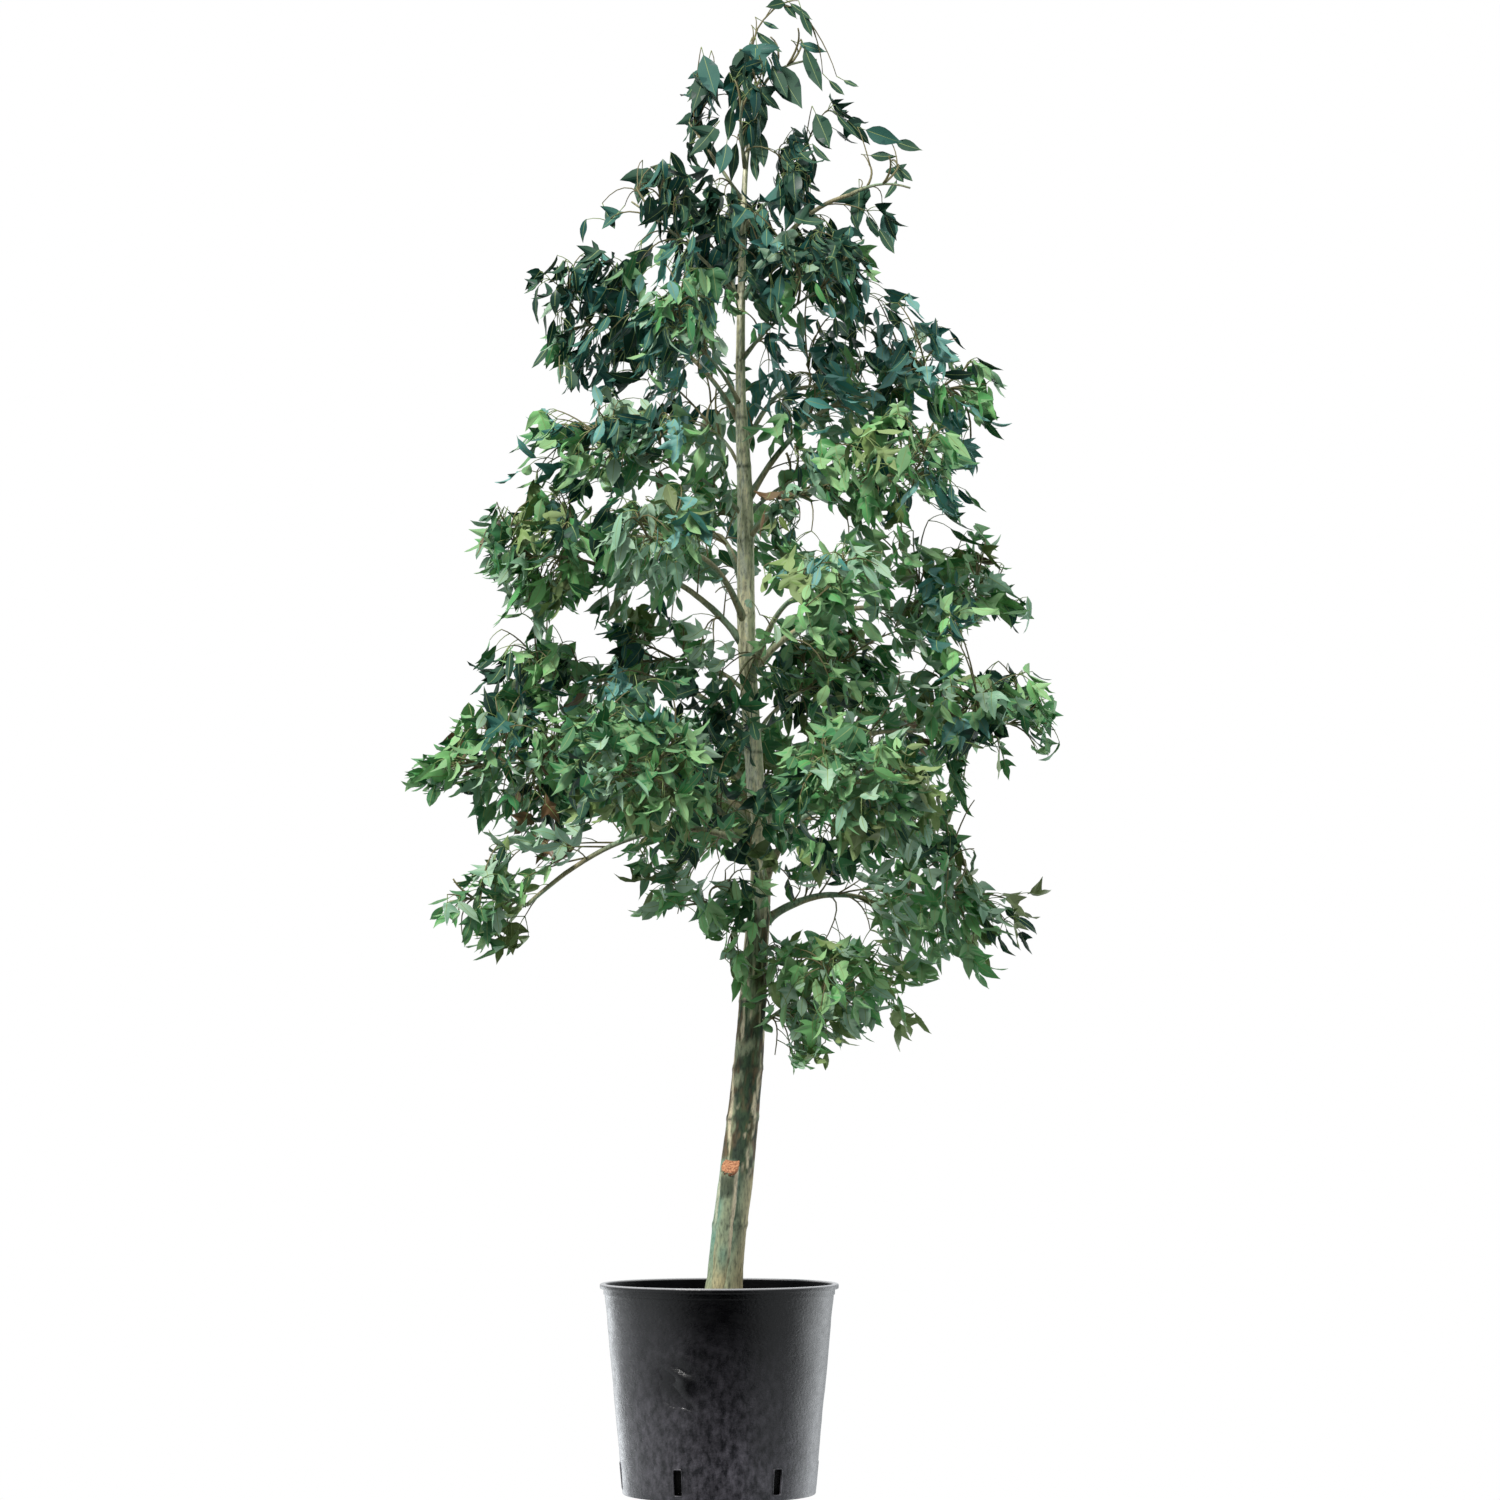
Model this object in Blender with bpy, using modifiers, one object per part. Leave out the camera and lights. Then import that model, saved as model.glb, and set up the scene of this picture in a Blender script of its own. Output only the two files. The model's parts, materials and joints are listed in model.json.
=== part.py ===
"""Young kurrajong tree in a black nursery pot.

Metres, +Z up, -Y towards the viewer. The origin is the centre of the pot's flat underside.
The trunk runs whole from the soil to its tip. Boughs leave it on every side, and each bough ends where
its mass of foliage begins. Masses close to the trunk grow straight from it.
"""

import math
import random
from collections import namedtuple

import bmesh
import bpy
from mathutils import Matrix, Vector
from mathutils.bvhtree import BVHTree

GAP = 0.0003
UP = Vector((0.0, 0.0, 1.0))
GOLDEN_ANGLE = math.pi * (3.0 - math.sqrt(5.0))

# Pot and soil
POT_HEIGHT = 0.365
BASE_RADIUS = 0.169
COLLAR_RADIUS = 0.2015
LIP_RADIUS = 0.210
LIP_DEPTH = 0.009
COLLAR_DEPTH = 0.010
WALL = 0.0035
POT_SIDES = 36
SLOT_COUNT = 6
SLOT_WIDTH = 0.017
SLOT_LOW = 0.010
SLOT_HIGH = 0.055
SLOT_FIRST_DEG = -114.0
SOIL_BELOW_RIM = 0.045
SOIL_TOP = POT_HEIGHT - SOIL_BELOW_RIM

# Trunk: height, sideways, depth and radius, from the soil to the tip
TRUNK_ROWS = (
    (SOIL_TOP + GAP, 0.007, 0.000, 0.0350),
    (0.375, 0.010, 0.000, 0.0310),
    (0.580, 0.033, 0.002, 0.0295),
    (0.760, 0.052, 0.004, 0.0258),
    (0.950, 0.064, 0.002, 0.0215),
    (1.090, 0.073, -0.002, 0.0178),
    (1.270, 0.062, -0.004, 0.0162),
    (1.500, 0.048, 0.000, 0.0158),
    (1.770, 0.045, 0.003, 0.0140),
    (1.950, 0.037, 0.002, 0.0092),
    (2.200, 0.040, -0.002, 0.0062),
    (2.380, 0.048, 0.000, 0.0045),
    (2.490, 0.072, 0.000, 0.0034),
)
TRUNK_RINGS = 22
TRUNK_SIDES = 12
FOOT_RING = 0.012

# Stub of a pruned side stem, low on the trunk
STUB_HEIGHT = 0.500
STUB_AZIMUTH_DEG = 250.0
STUB_RADIUS = 0.0150
STUB_LENGTH = 0.075
STUB_SIDES = 8

# Boughs
BOUGH_RADIUS_SHARE = 0.50
BOUGH_TIP_RADIUS = 0.0042
BOUGH_RINGS = 5
BOUGH_SIDES = 6
LEAST_BOUGH = 0.12
SUNK = 0.55

# Foliage: each row is a mass. It leaves the trunk at a height, and its space is an ellipsoid with a centre
# and half sizes outward from the trunk, sideways and upright.
Mass = namedtuple("Mass", "name foot centre half leaf_length")
MASSES = (
    Mass("left_skirt", 1.130, (-0.415, -0.110, 1.040), (0.100, 0.100, 0.100), 0.130),
    Mass("left_low_outer", 1.180, (-0.370, -0.020, 1.285), (0.200, 0.150, 0.150), 0.170),
    Mass("left_low_inner", 1.090, (-0.140, -0.290, 1.240), (0.160, 0.150, 0.165), 0.170),
    Mass("left_low_upper", 1.330, (-0.304, 0.100, 1.450), (0.110, 0.120, 0.085), 0.145),
    Mass("left_mid_low", 1.410, (-0.125, 0.120, 1.480), (0.125, 0.120, 0.120), 0.155),
    Mass("left_mid_outer", 1.500, (-0.314, -0.040, 1.652), (0.130, 0.130, 0.130), 0.155),
    Mass("left_mid_inner", 1.540, (-0.111, -0.250, 1.654), (0.130, 0.130, 0.110), 0.155),
    Mass("left_upmid", 1.730, (-0.185, -0.100, 1.835), (0.160, 0.130, 0.110), 0.155),
    Mass("left_high_outer", 1.900, (-0.228, 0.060, 2.088), (0.110, 0.110, 0.140), 0.145),
    Mass("left_high_inner", 1.930, (-0.060, -0.150, 2.043), (0.110, 0.110, 0.140), 0.145),
    Mass("left_top", 2.120, (-0.112, -0.060, 2.288), (0.088, 0.078, 0.085), 0.130),
    Mass("top_left", 2.300, (-0.030, 0.030, 2.463), (0.050, 0.058, 0.108), 0.120),
    Mass("top_mid", 2.360, (0.050, -0.060, 2.470), (0.055, 0.055, 0.100), 0.120),
    Mass("leader", 2.490, (0.128, 0.000, 2.570), (0.085, 0.080, 0.118), 0.130),
    Mass("top_right", 2.250, (0.128, 0.040, 2.372), (0.060, 0.065, 0.092), 0.120),
    Mass("centre_high", 2.100, (0.010, 0.150, 2.250), (0.120, 0.120, 0.115), 0.155),
    Mass("right_top", 2.120, (0.297, -0.060, 2.319), (0.080, 0.070, 0.130), 0.120),
    Mass("right_high_inner", 2.010, (0.169, -0.100, 2.142), (0.125, 0.120, 0.120), 0.155),
    Mass("right_high_outer", 1.760, (0.375, 0.000, 1.963), (0.150, 0.130, 0.130), 0.155),
    Mass("right_high_mid", 1.850, (0.202, 0.220, 2.000), (0.120, 0.120, 0.115), 0.155),
    Mass("right_upmid", 1.690, (0.325, -0.120, 1.785), (0.140, 0.130, 0.125), 0.155),
    Mass("right_twig", 1.730, (0.138, 0.010, 1.818), (0.062, 0.060, 0.088), 0.120),
    Mass("right_mid_outer", 1.450, (0.425, 0.020, 1.575), (0.150, 0.130, 0.100), 0.155),
    Mass("right_mid_inner", 1.430, (0.189, -0.270, 1.573), (0.135, 0.130, 0.095), 0.155),
    Mass("right_lowmid", 1.330, (0.195, 0.220, 1.460), (0.150, 0.140, 0.125), 0.170),
    Mass("right_low_outer", 1.200, (0.474, -0.030, 1.355), (0.155, 0.150, 0.115), 0.170),
    Mass("right_low_inner", 1.060, (0.240, -0.300, 1.205), (0.170, 0.150, 0.155), 0.170),
    Mass("right_skirt", 1.000, (0.402, 0.110, 1.064), (0.145, 0.140, 0.188), 0.170),
    Mass("low_front", 0.810, (0.175, -0.050, 0.880), (0.145, 0.125, 0.135), 0.155),
    Mass("low_left", 0.980, (-0.030, -0.100, 1.030), (0.095, 0.090, 0.090), 0.130),
    Mass("back_low", 1.120, (0.045, 0.410, 1.267), (0.165, 0.160, 0.150), 0.170),
    Mass("back_low_left", 1.230, (-0.187, 0.300, 1.332), (0.150, 0.150, 0.130), 0.170),
    Mass("back_low_right", 1.160, (0.277, 0.320, 1.315), (0.150, 0.150, 0.130), 0.170),
    Mass("back_mid", 1.580, (-0.050, 0.320, 1.740), (0.145, 0.150, 0.130), 0.170),
    Mass("back_upmid", 1.800, (-0.030, 0.210, 1.950), (0.110, 0.110, 0.120), 0.145),
)
STEM_RADIUS = 0.0042
STEM_TIP_RADIUS = 0.0026
STEM_RINGS = 4
STEM_REACH = 0.55
STEM_FOOT = 0.006
SIDE_TWIGS = 3
TWIG_RADIUS = 0.0028
TWIG_TIP_RADIUS = 0.0022
TWIG_RINGS = 2
TWIG_REACH = 0.50
TWIG_LIFT = 0.30
LEAVES_PER_AREA = 152.0
LEAST_LEAVES = 8
LEAF_SHELL = (0.50, 0.92)
LEAF_WIDTH_SHARE = 0.68
LEAF_THICKNESS_SHARE = 0.015
LEAF_WIDEST = 0.42
LEAF_TRIES = 40
PETIOLE_RADIUS = 0.0009
PETIOLE_ROOT_RADIUS = 0.0005
END_INSET = 0.003
PETIOLE_RANGE = (0.008, 0.095)
SHARPEST_BEND = -0.3
LEAST_TURN = 0.4
OVERHANG = 0.022
CLAIM_SLACK = 0.30

MATERIALS = {
    "bark": ((0.29, 0.27, 0.18), 0.85),
    "cut_wood": ((0.42, 0.22, 0.12), 0.90),
    "leaf": ((0.045, 0.115, 0.055), 0.42),
    "pot": ((0.022, 0.023, 0.026), 0.38),
    "soil": ((0.045, 0.030, 0.020), 0.95),
}


# Scene and materials


def clear_scene():
    """Removes what the file held before."""
    for obj in list(bpy.data.objects):
        bpy.data.objects.remove(obj)


def new_collection(name):
    """A collection linked to the scene."""
    made = bpy.data.collections.new(name)
    bpy.context.scene.collection.children.link(made)
    return made


def make_material(name):
    """A Principled material from the table of colours."""
    colour, roughness = MATERIALS[name]
    made = bpy.data.materials.new(name)
    made.use_nodes = True
    made.diffuse_color = (*colour, 1.0)
    shader = made.node_tree.nodes["Principled BSDF"]
    shader.inputs["Base Color"].default_value = (*colour, 1.0)
    shader.inputs["Roughness"].default_value = roughness
    shader.inputs["Metallic"].default_value = 0.0
    return made


def new_object(name, data, collection, material=None):
    """An object of that data in the collection."""
    obj = bpy.data.objects.new(name, data)
    collection.objects.link(obj)
    if material:
        data.materials.append(material)
    return obj


def evaluated_mesh(obj):
    """The object's mesh in world space, in triangles, with its modifiers applied."""
    bpy.context.view_layer.update()
    graph = bpy.context.evaluated_depsgraph_get()
    mesh = bpy.data.meshes.new_from_object(obj.evaluated_get(graph))
    mesh.transform(obj.matrix_world)
    shape = bmesh.new()
    shape.from_mesh(mesh)
    bmesh.ops.triangulate(shape, faces=shape.faces)
    shape.to_mesh(mesh)
    shape.free()
    return mesh


def frozen(obj):
    """Replaces the object by a mesh of its evaluated shape, under the same name."""
    name = obj.name
    collection = obj.users_collection[0]
    mesh = evaluated_mesh(obj)
    bpy.data.objects.remove(obj)
    mesh.name = name
    return new_object(name, mesh, collection)


def make_helper(obj):
    """Marks a cutter or guide, which is no part of the model."""
    obj.hide_render = True
    obj.display_type = "WIRE"


def round_shading(obj, degrees=35.0):
    """Smooth shading with edges sharper than the angle kept."""
    obj.data.shade_smooth()
    obj.data.set_sharp_from_angle(angle=math.radians(degrees))


# Curves through named rows


def catmull_rom(rows, share):
    """The point at a share from 0 to 1 of a smooth curve through equally weighted rows of numbers."""
    last = len(rows) - 1
    place = min(max(share, 0.0), 1.0) * last
    index = min(int(place), last - 1)
    t = place - index
    before = rows[max(index - 1, 0)]
    start, end = rows[index], rows[index + 1]
    after = rows[min(index + 2, last)]
    weights = (
        -0.5 * t + t * t - 0.5 * t**3,
        1.0 - 2.5 * t * t + 1.5 * t**3,
        0.5 * t + 2.0 * t * t - 1.5 * t**3,
        -0.5 * t * t + 0.5 * t**3,
    )
    corners = zip(before, start, end, after)
    return [sum(w * c for w, c in zip(weights, four)) for four in corners]


def bezier(start, middle, end, t):
    """The point at t of a curve from start to end that is drawn towards middle."""
    return start * (1 - t) ** 2 + middle * 2 * t * (1 - t) + end * t * t


def on_line(points, share):
    """The point at a share from 0 to 1 of a line of straight pieces."""
    place = min(max(share, 0.0), 1.0) * (len(points) - 1)
    index = min(int(place), len(points) - 2)
    return points[index].lerp(points[index + 1], place - index)


def trunk_at(height):
    """The trunk's centre and radius at a height."""
    heights = [row[0] for row in TRUNK_ROWS]
    index = max(i for i in range(len(heights) - 1) if i == 0 or heights[i] <= height)
    span = heights[index + 1] - heights[index]
    share = (index + min(max((height - heights[index]) / span, 0.0), 1.0)) / (len(heights) - 1)
    _, sideways, depth, radius = catmull_rom(TRUNK_ROWS, share)
    return Vector((sideways, depth, height)), radius


def tube(name, points, radii, sides, collection):
    """A closed tube with flat ends along the points, with a radius at each."""
    last = len(points) - 1
    side = (points[1] - points[0]).orthogonal()
    shape = bmesh.new()
    rings = []
    for i, (point, radius) in enumerate(zip(points, radii)):
        along = (points[min(i + 1, last)] - points[max(i - 1, 0)]).normalized()
        side = (side - along * side.dot(along)).normalized()
        across = along.cross(side)
        spokes = [(math.cos(a), math.sin(a)) for a in (k * math.tau / sides for k in range(sides))]
        rings.append([shape.verts.new(point + (side * c + across * s) * radius) for c, s in spokes])
    for ring, following in zip(rings, rings[1:]):
        for k in range(sides):
            after = (k + 1) % sides
            shape.faces.new((ring[k], ring[after], following[after], following[k]))
    shape.faces.new(list(reversed(rings[0])))
    shape.faces.new(rings[-1])
    mesh = bpy.data.meshes.new(name)
    shape.to_mesh(mesh)
    shape.free()
    return new_object(name, mesh, collection)


# Pot and soil


def turned(name, profile, collection, material):
    """A solid turned about Z from (radius, height) points that run down its outer side."""
    mesh = bpy.data.meshes.new(name)
    shape = bmesh.new()
    corners = [shape.verts.new((radius, 0.0, height)) for radius, height in profile]
    for first, second in zip(corners, corners[1:]):
        shape.edges.new((first, second))
    shape.to_mesh(mesh)
    shape.free()
    obj = new_object(name, mesh, collection, material)
    screw = obj.modifiers.new("turn", "SCREW")
    screw.steps = screw.render_steps = POT_SIDES
    screw.use_merge_vertices = True
    screw.merge_threshold = 0.0001
    return obj


def wall_radius(height):
    """The outside radius of the pot's wall at a height."""
    share = height / (POT_HEIGHT - LIP_DEPTH - COLLAR_DEPTH)
    return BASE_RADIUS + (COLLAR_RADIUS - BASE_RADIUS) * share


def make_pot(collection, cutters, material):
    """A tapered pot with a turned-out lip, a collar under it and drainage slots round the foot."""
    lip_low = POT_HEIGHT - LIP_DEPTH
    collar_low = lip_low - COLLAR_DEPTH
    edge = 0.002
    inner_top = wall_radius(POT_HEIGHT - edge) - WALL
    profile = (
        (0.0, WALL),
        (wall_radius(WALL) - WALL, WALL),
        (inner_top, POT_HEIGHT - edge),
        (inner_top + edge, POT_HEIGHT),
        (LIP_RADIUS - edge, POT_HEIGHT),
        (LIP_RADIUS, POT_HEIGHT - edge),
        (LIP_RADIUS, lip_low),
        (COLLAR_RADIUS + edge, lip_low),
        (COLLAR_RADIUS + edge, collar_low),
        (COLLAR_RADIUS, collar_low),
        (BASE_RADIUS, 0.0),
        (0.0, 0.0),
    )
    pot = turned("pot", profile, collection, material)
    slots = bpy.data.collections.new("slots")
    cutters.children.link(slots)
    for i in range(SLOT_COUNT):
        angle = math.radians(SLOT_FIRST_DEG) + i * math.tau / SLOT_COUNT
        middle = (SLOT_LOW + SLOT_HIGH) / 2
        radius = wall_radius(middle)
        turn = Matrix.Rotation(angle, 4, "Z")
        shape = bmesh.new()
        bmesh.ops.create_cube(shape, size=1.0)
        size = Matrix.Diagonal((6 * WALL, SLOT_WIDTH, SLOT_HIGH - SLOT_LOW, 1.0))
        shape.transform(turn @ Matrix.Translation((radius, 0.0, middle)) @ size)
        mesh = bpy.data.meshes.new(f"slot_{i}")
        shape.to_mesh(mesh)
        shape.free()
        make_helper(new_object(mesh.name, mesh, slots))
    cut = pot.modifiers.new("slots", "BOOLEAN")
    cut.operation = "DIFFERENCE"
    cut.operand_type = "COLLECTION"
    cut.collection = slots
    cut.solver = "EXACT"
    return pot


def make_soil(collection, material):
    """The potting mix, clear of the pot all round, with a flat top."""
    low = WALL + GAP
    profile = (
        (0.0, SOIL_TOP),
        (wall_radius(SOIL_TOP) - WALL - GAP, SOIL_TOP),
        (wall_radius(low) - WALL - GAP, low),
        (0.0, low),
    )
    return turned("soil", profile, collection, material)


# Trunk and boughs


def trunk_rings():
    """Heights of the trunk's rings. The first two make its foot stand upright, for a level cut."""
    low, high = TRUNK_ROWS[0][0], TRUNK_ROWS[-1][0]
    rest = [low + (high - low) * i / (TRUNK_RINGS - 1) for i in range(1, TRUNK_RINGS)]
    return [low, low + FOOT_RING, *rest]


def make_trunk(collection, material):
    """The whole trunk, with its flare, lean and taper."""
    points, radii = [], []
    for height in trunk_rings():
        centre, radius = trunk_at(height)
        points.append(centre)
        radii.append(radius)
    points[1].x, points[1].y = points[0].x, points[0].y
    trunk = tube("trunk", points, radii, TRUNK_SIDES, collection)
    trunk.data.materials.append(material)
    round_shading(trunk)
    sleeve = tube("trunk_sleeve", points, [r + GAP for r in radii], TRUNK_SIDES, collection)
    return trunk, sleeve


def fitted_to_trunk(limb, sleeve):
    """Cuts the limb's inner end to the trunk's surface, a hair clear of it."""
    cut = limb.modifiers.new("meet_trunk", "BOOLEAN")
    cut.operation = "DIFFERENCE"
    cut.object = sleeve
    cut.solver = "EXACT"
    return keep_largest(frozen(limb))


def keep_largest(obj):
    """Drops loose scraps and sealed hollows, and keeps the largest closed piece."""
    shape = bmesh.new()
    shape.from_mesh(obj.data)
    left = set(shape.faces)
    pieces = []
    while left:
        piece, border = set(), [left.pop()]
        while border:
            face = border.pop()
            piece.add(face)
            sound = [edge for edge in face.edges if len(edge.link_faces) == 2]
            near = {other for edge in sound for other in edge.link_faces if other in left}
            left -= near
            border.extend(near)
        pieces.append(piece)
    pieces.sort(key=len)
    scraps = [face for piece in pieces[:-1] for face in piece]
    bmesh.ops.delete(shape, geom=scraps, context="FACES")
    shape.to_mesh(obj.data)
    shape.free()
    return obj


def make_stub(collection, sleeve, material):
    """A short pruned stub that runs up beside the trunk and is cut off flat."""
    foot, radius = trunk_at(STUB_HEIGHT)
    above, _ = trunk_at(STUB_HEIGHT + 0.02)
    azimuth = math.radians(STUB_AZIMUTH_DEG)
    outward = Vector((math.cos(azimuth), math.sin(azimuth), 0.0))
    lean = (outward * 0.28 + (above - foot).normalized()).normalized()
    points = [foot + outward * radius * SUNK + lean * STUB_LENGTH * share for share in (0.0, 0.5, 1.0)]
    stub = tube("pruned_stub", points, [STUB_RADIUS * s for s in (1.25, 1.1, 1.0)], STUB_SIDES, collection)
    stub = fitted_to_trunk(stub, sleeve)
    stub.data.materials.append(material)
    round_shading(stub)
    return stub


Space = namedtuple("Space", "centre outward sideways half")


def space_of(mass):
    """The mass's ellipsoid, turned so that its first axis points away from the trunk."""
    centre = Vector(mass.centre)
    axis, _ = trunk_at(mass.centre[2])
    outward = Vector((centre.x - axis.x, centre.y - axis.y, 0.0)).normalized()
    return Space(centre, outward, UP.cross(outward), Vector(mass.half))


def level(space, point):
    """0 at the space's centre and 1 on its surface."""
    offset = point - space.centre
    local = (offset.dot(space.outward), offset.dot(space.sideways), offset.z)
    return math.sqrt(sum((c / h) ** 2 for c, h in zip(local, space.half)))


def spot_in(space, outward, sideways, upright):
    """The point at these shares of the space's half sizes."""
    return (
        space.centre
        + space.outward * outward * space.half.x
        + space.sideways * sideways * space.half.y
        + UP * upright * space.half.z
    )


def bough_path(mass, space):
    """Where a bough starts, bends and ends. The end is inside the near side of the mass."""
    start, radius = trunk_at(mass.foot)
    start = start + space.outward * radius * SUNK
    end = spot_in(space, -0.80, 0.0, -0.15)
    run = Vector((end.x - start.x, end.y - start.y, 0.0))
    middle = start + run * 0.45 + UP * (max(end.z - start.z, 0.0) * 0.62 + 0.25 * run.length)
    return start, middle, end


def has_bough(mass, space):
    """Masses that lie close to the trunk grow straight from it, and so does the leader."""
    start, _ = trunk_at(mass.foot)
    reach = math.hypot(mass.centre[0] - start.x, mass.centre[1] - start.y)
    return reach - space.half.x >= LEAST_BOUGH


def make_bough(mass, space, collection, sleeve, material):
    """One tapering limb from the trunk to its mass. Returns it with its end point and direction."""
    start, middle, end = bough_path(mass, space)
    _, trunk_radius = trunk_at(mass.foot)
    thick = max(trunk_radius * BOUGH_RADIUS_SHARE, BOUGH_TIP_RADIUS * 1.3)
    shares = [i / (BOUGH_RINGS - 1) for i in range(BOUGH_RINGS)]
    points = [bezier(start, middle, end, t) for t in shares]
    radii = [thick + (BOUGH_TIP_RADIUS - thick) * t**0.8 for t in shares]
    bough = tube(f"bough_{mass.name}", points, radii, BOUGH_SIDES, collection)
    bough = fitted_to_trunk(bough, sleeve)
    bough.data.materials.append(material)
    round_shading(bough)
    return bough, end, (points[-1] - points[-2]).normalized()


# Foliage


def leaf_corners(root, base, forward, above, size):
    """Corners of a leaf: three round the petiole's root, three round the blade's base, three across the
    blade where it is widest and one at its tip. Two of the base's lie in the blade's plane, so that no
    face turns over. None if the petiole would bend too sharply."""
    reach = (base - root).normalized()
    if reach.dot(forward) < SHARPEST_BEND:
        return None
    across = above.cross(forward).normalized()
    top_side = forward.cross(across)
    bisector = (reach + forward).normalized()
    side = top_side.cross(bisector)
    if side.length < LEAST_TURN:
        return None
    side.normalize()
    root_side = bisector.rotation_difference(reach) @ side
    corners = []
    rings = ((root, reach, root_side, PETIOLE_ROOT_RADIUS), (base, bisector, side, PETIOLE_RADIUS))
    for centre, along, spoke, radius in rings:
        corners += [centre + spoke * radius, centre + along.cross(spoke) * radius, centre - spoke * radius]
    widest = base + forward * size * LEAF_WIDEST
    half_width = across * size * LEAF_WIDTH_SHARE / 2
    ridge = top_side * size * LEAF_THICKNESS_SHARE
    return [*corners, widest + half_width, widest + ridge, widest - half_width, base + forward * size]


LEAF_FACES = (
    (0, 1, 2),
    *((i + k, i + (k + 1) % 3, i + 3 + (k + 1) % 3, i + 3 + k) for i in (0, 3) for k in range(3)),
    *((6 + k, 6 + (k + 1) % 3, 9) for k in range(3)),
)


def leaf_object(name, corners, collection):
    """A leaf with its petiole as a closed mesh."""
    mesh = bpy.data.meshes.new(name)
    shape = bmesh.new()
    verts = [shape.verts.new(corner) for corner in corners]
    for face in LEAF_FACES:
        shape.faces.new([verts[i] for i in face])
    bmesh.ops.recalc_face_normals(shape, faces=shape.faces)
    shape.to_mesh(mesh)
    shape.free()
    return new_object(name, mesh, collection)


def shape_tree(mesh):
    """A search tree of a mesh, for tests of what touches what."""
    return BVHTree.FromPolygons([vert.co for vert in mesh.vertices], [face.vertices for face in mesh.polygons])


def spread(count, spin):
    """Directions spread evenly over a ball by the golden angle."""
    for i in range(count):
        rise = 1.0 - 2.0 * (i + 0.5) / count
        ring = math.sqrt(1.0 - rise * rise)
        angle = spin + i * GOLDEN_ANGLE
        yield Vector((ring * math.cos(angle), ring * math.sin(angle), rise))


def nearest_on(lines, point):
    """The nearest place to a point on lines of straight pieces."""
    best = None
    for line in lines:
        for start, end in zip(line, line[1:]):
            run = end - start
            most = 1.0 - END_INSET / run.length
            share = min(max((point - start).dot(run) / run.length_squared, 1.0 - most), most)
            place = start + run * share
            if best is None or (place - point).length < (best - point).length:
                best = place
    return best


def stem_points(space, start, heading):
    """A mass's stem: it goes on from its bough, through the middle of the space, and droops at its end."""
    end = spot_in(space, STEM_REACH, 0.0, -0.10)
    foot = start + heading * STEM_FOOT
    middle = foot + heading * (end - foot).length * 0.5
    middle.z = max(middle.z, foot.z * 0.5 + end.z * 0.5 + 0.2 * space.half.z)
    return [start, *(bezier(foot, middle, end, i / (STEM_RINGS - 1)) for i in range(STEM_RINGS))]


def twig_points(stem, spot):
    """A twig that leaves the stem ahead of its nearest place and arches over to its spot."""
    nearest = min((i / 20 for i in range(1, 20)), key=lambda t: (on_line(stem, t) - spot).length)
    leaves_at = max(0.2, nearest * 0.72)
    start = on_line(stem, leaves_at)
    ahead = (on_line(stem, leaves_at + 0.1) - start).normalized()
    reach = (spot - start).length
    middle = start + ahead * reach * 0.30 + (spot - start) * 0.35 + UP * reach * 0.15
    return [bezier(start, middle, spot, i / (TWIG_RINGS - 1)) for i in range(TWIG_RINGS)]


def twig_tube(name, points, radius, tip_radius, collection):
    """A three-sided tapering tube."""
    last = len(points) - 1
    radii = [radius + (tip_radius - radius) * i / last for i in range(len(points))]
    return tube(name, points, radii, 3, collection)


def grow_mass(mass, space, others, start, heading, tools):
    """One mass: a stem with side twigs, and leaves on petioles sunk into them, fused to one solid.

    Returns how many leaves found room.
    """
    dice = random.Random(mass.name)
    stem = stem_points(space, start, heading)
    body = twig_tube(f"foliage_{mass.name}", stem, STEM_RADIUS, STEM_TIP_RADIUS, tools.model)
    if tools.joins_trunk:
        body = fitted_to_trunk(body, tools.sleeve)
    sprays = bpy.data.collections.new("sprays")
    bpy.context.scene.collection.children.link(sprays)

    lines, limbs = [stem], [shape_tree(body.data)]
    spin = dice.uniform(0.0, math.tau)
    for index in range(SIDE_TWIGS):
        angle = spin + index * GOLDEN_ANGLE
        spot = spot_in(space, TWIG_REACH * math.cos(angle), TWIG_REACH * math.sin(angle), TWIG_LIFT)
        points = twig_points(stem, spot)
        limb = twig_tube(f"twig_{index}", points, TWIG_RADIUS, TWIG_TIP_RADIUS, sprays)
        tree = shape_tree(limb.data)
        if any(tree.overlap(other) for other in tools.obstacles) or not keeps_to(space, others, spot, 1.0):
            bpy.data.objects.remove(limb)
            continue
        lines.append(points)
        limbs.append(tree)

    half = space.half
    area = (half.x * half.y + half.y * half.z + half.z * half.x) / 3 * 4 * math.pi
    wanted = max(LEAST_LEAVES, round(LEAVES_PER_AREA * area * (0.13 / mass.leaf_length) ** 2))
    placed = []
    for direction in spread(wanted, dice.uniform(0.0, math.tau)):
        for _ in range(LEAF_TRIES):
            leaf = try_leaf(mass, space, direction, lines, dice)
            if leaf and leaf_fits(space, others, leaf, limbs, placed, tools):
                leaf_object(f"leaf_{len(placed)}", leaf, sprays)
                placed.append(leaf_tree(leaf))
                break
    join = body.modifiers.new("fuse", "BOOLEAN")
    join.operation = "UNION"
    join.operand_type = "COLLECTION"
    join.collection = sprays
    join.solver = "MANIFOLD"
    body = keep_largest(frozen(body))
    body.data.materials.append(tools.material)
    for helper in list(sprays.objects):
        bpy.data.objects.remove(helper)
    bpy.data.collections.remove(sprays)
    tools.obstacles.append(shape_tree(body.data))
    return len(placed)


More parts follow.
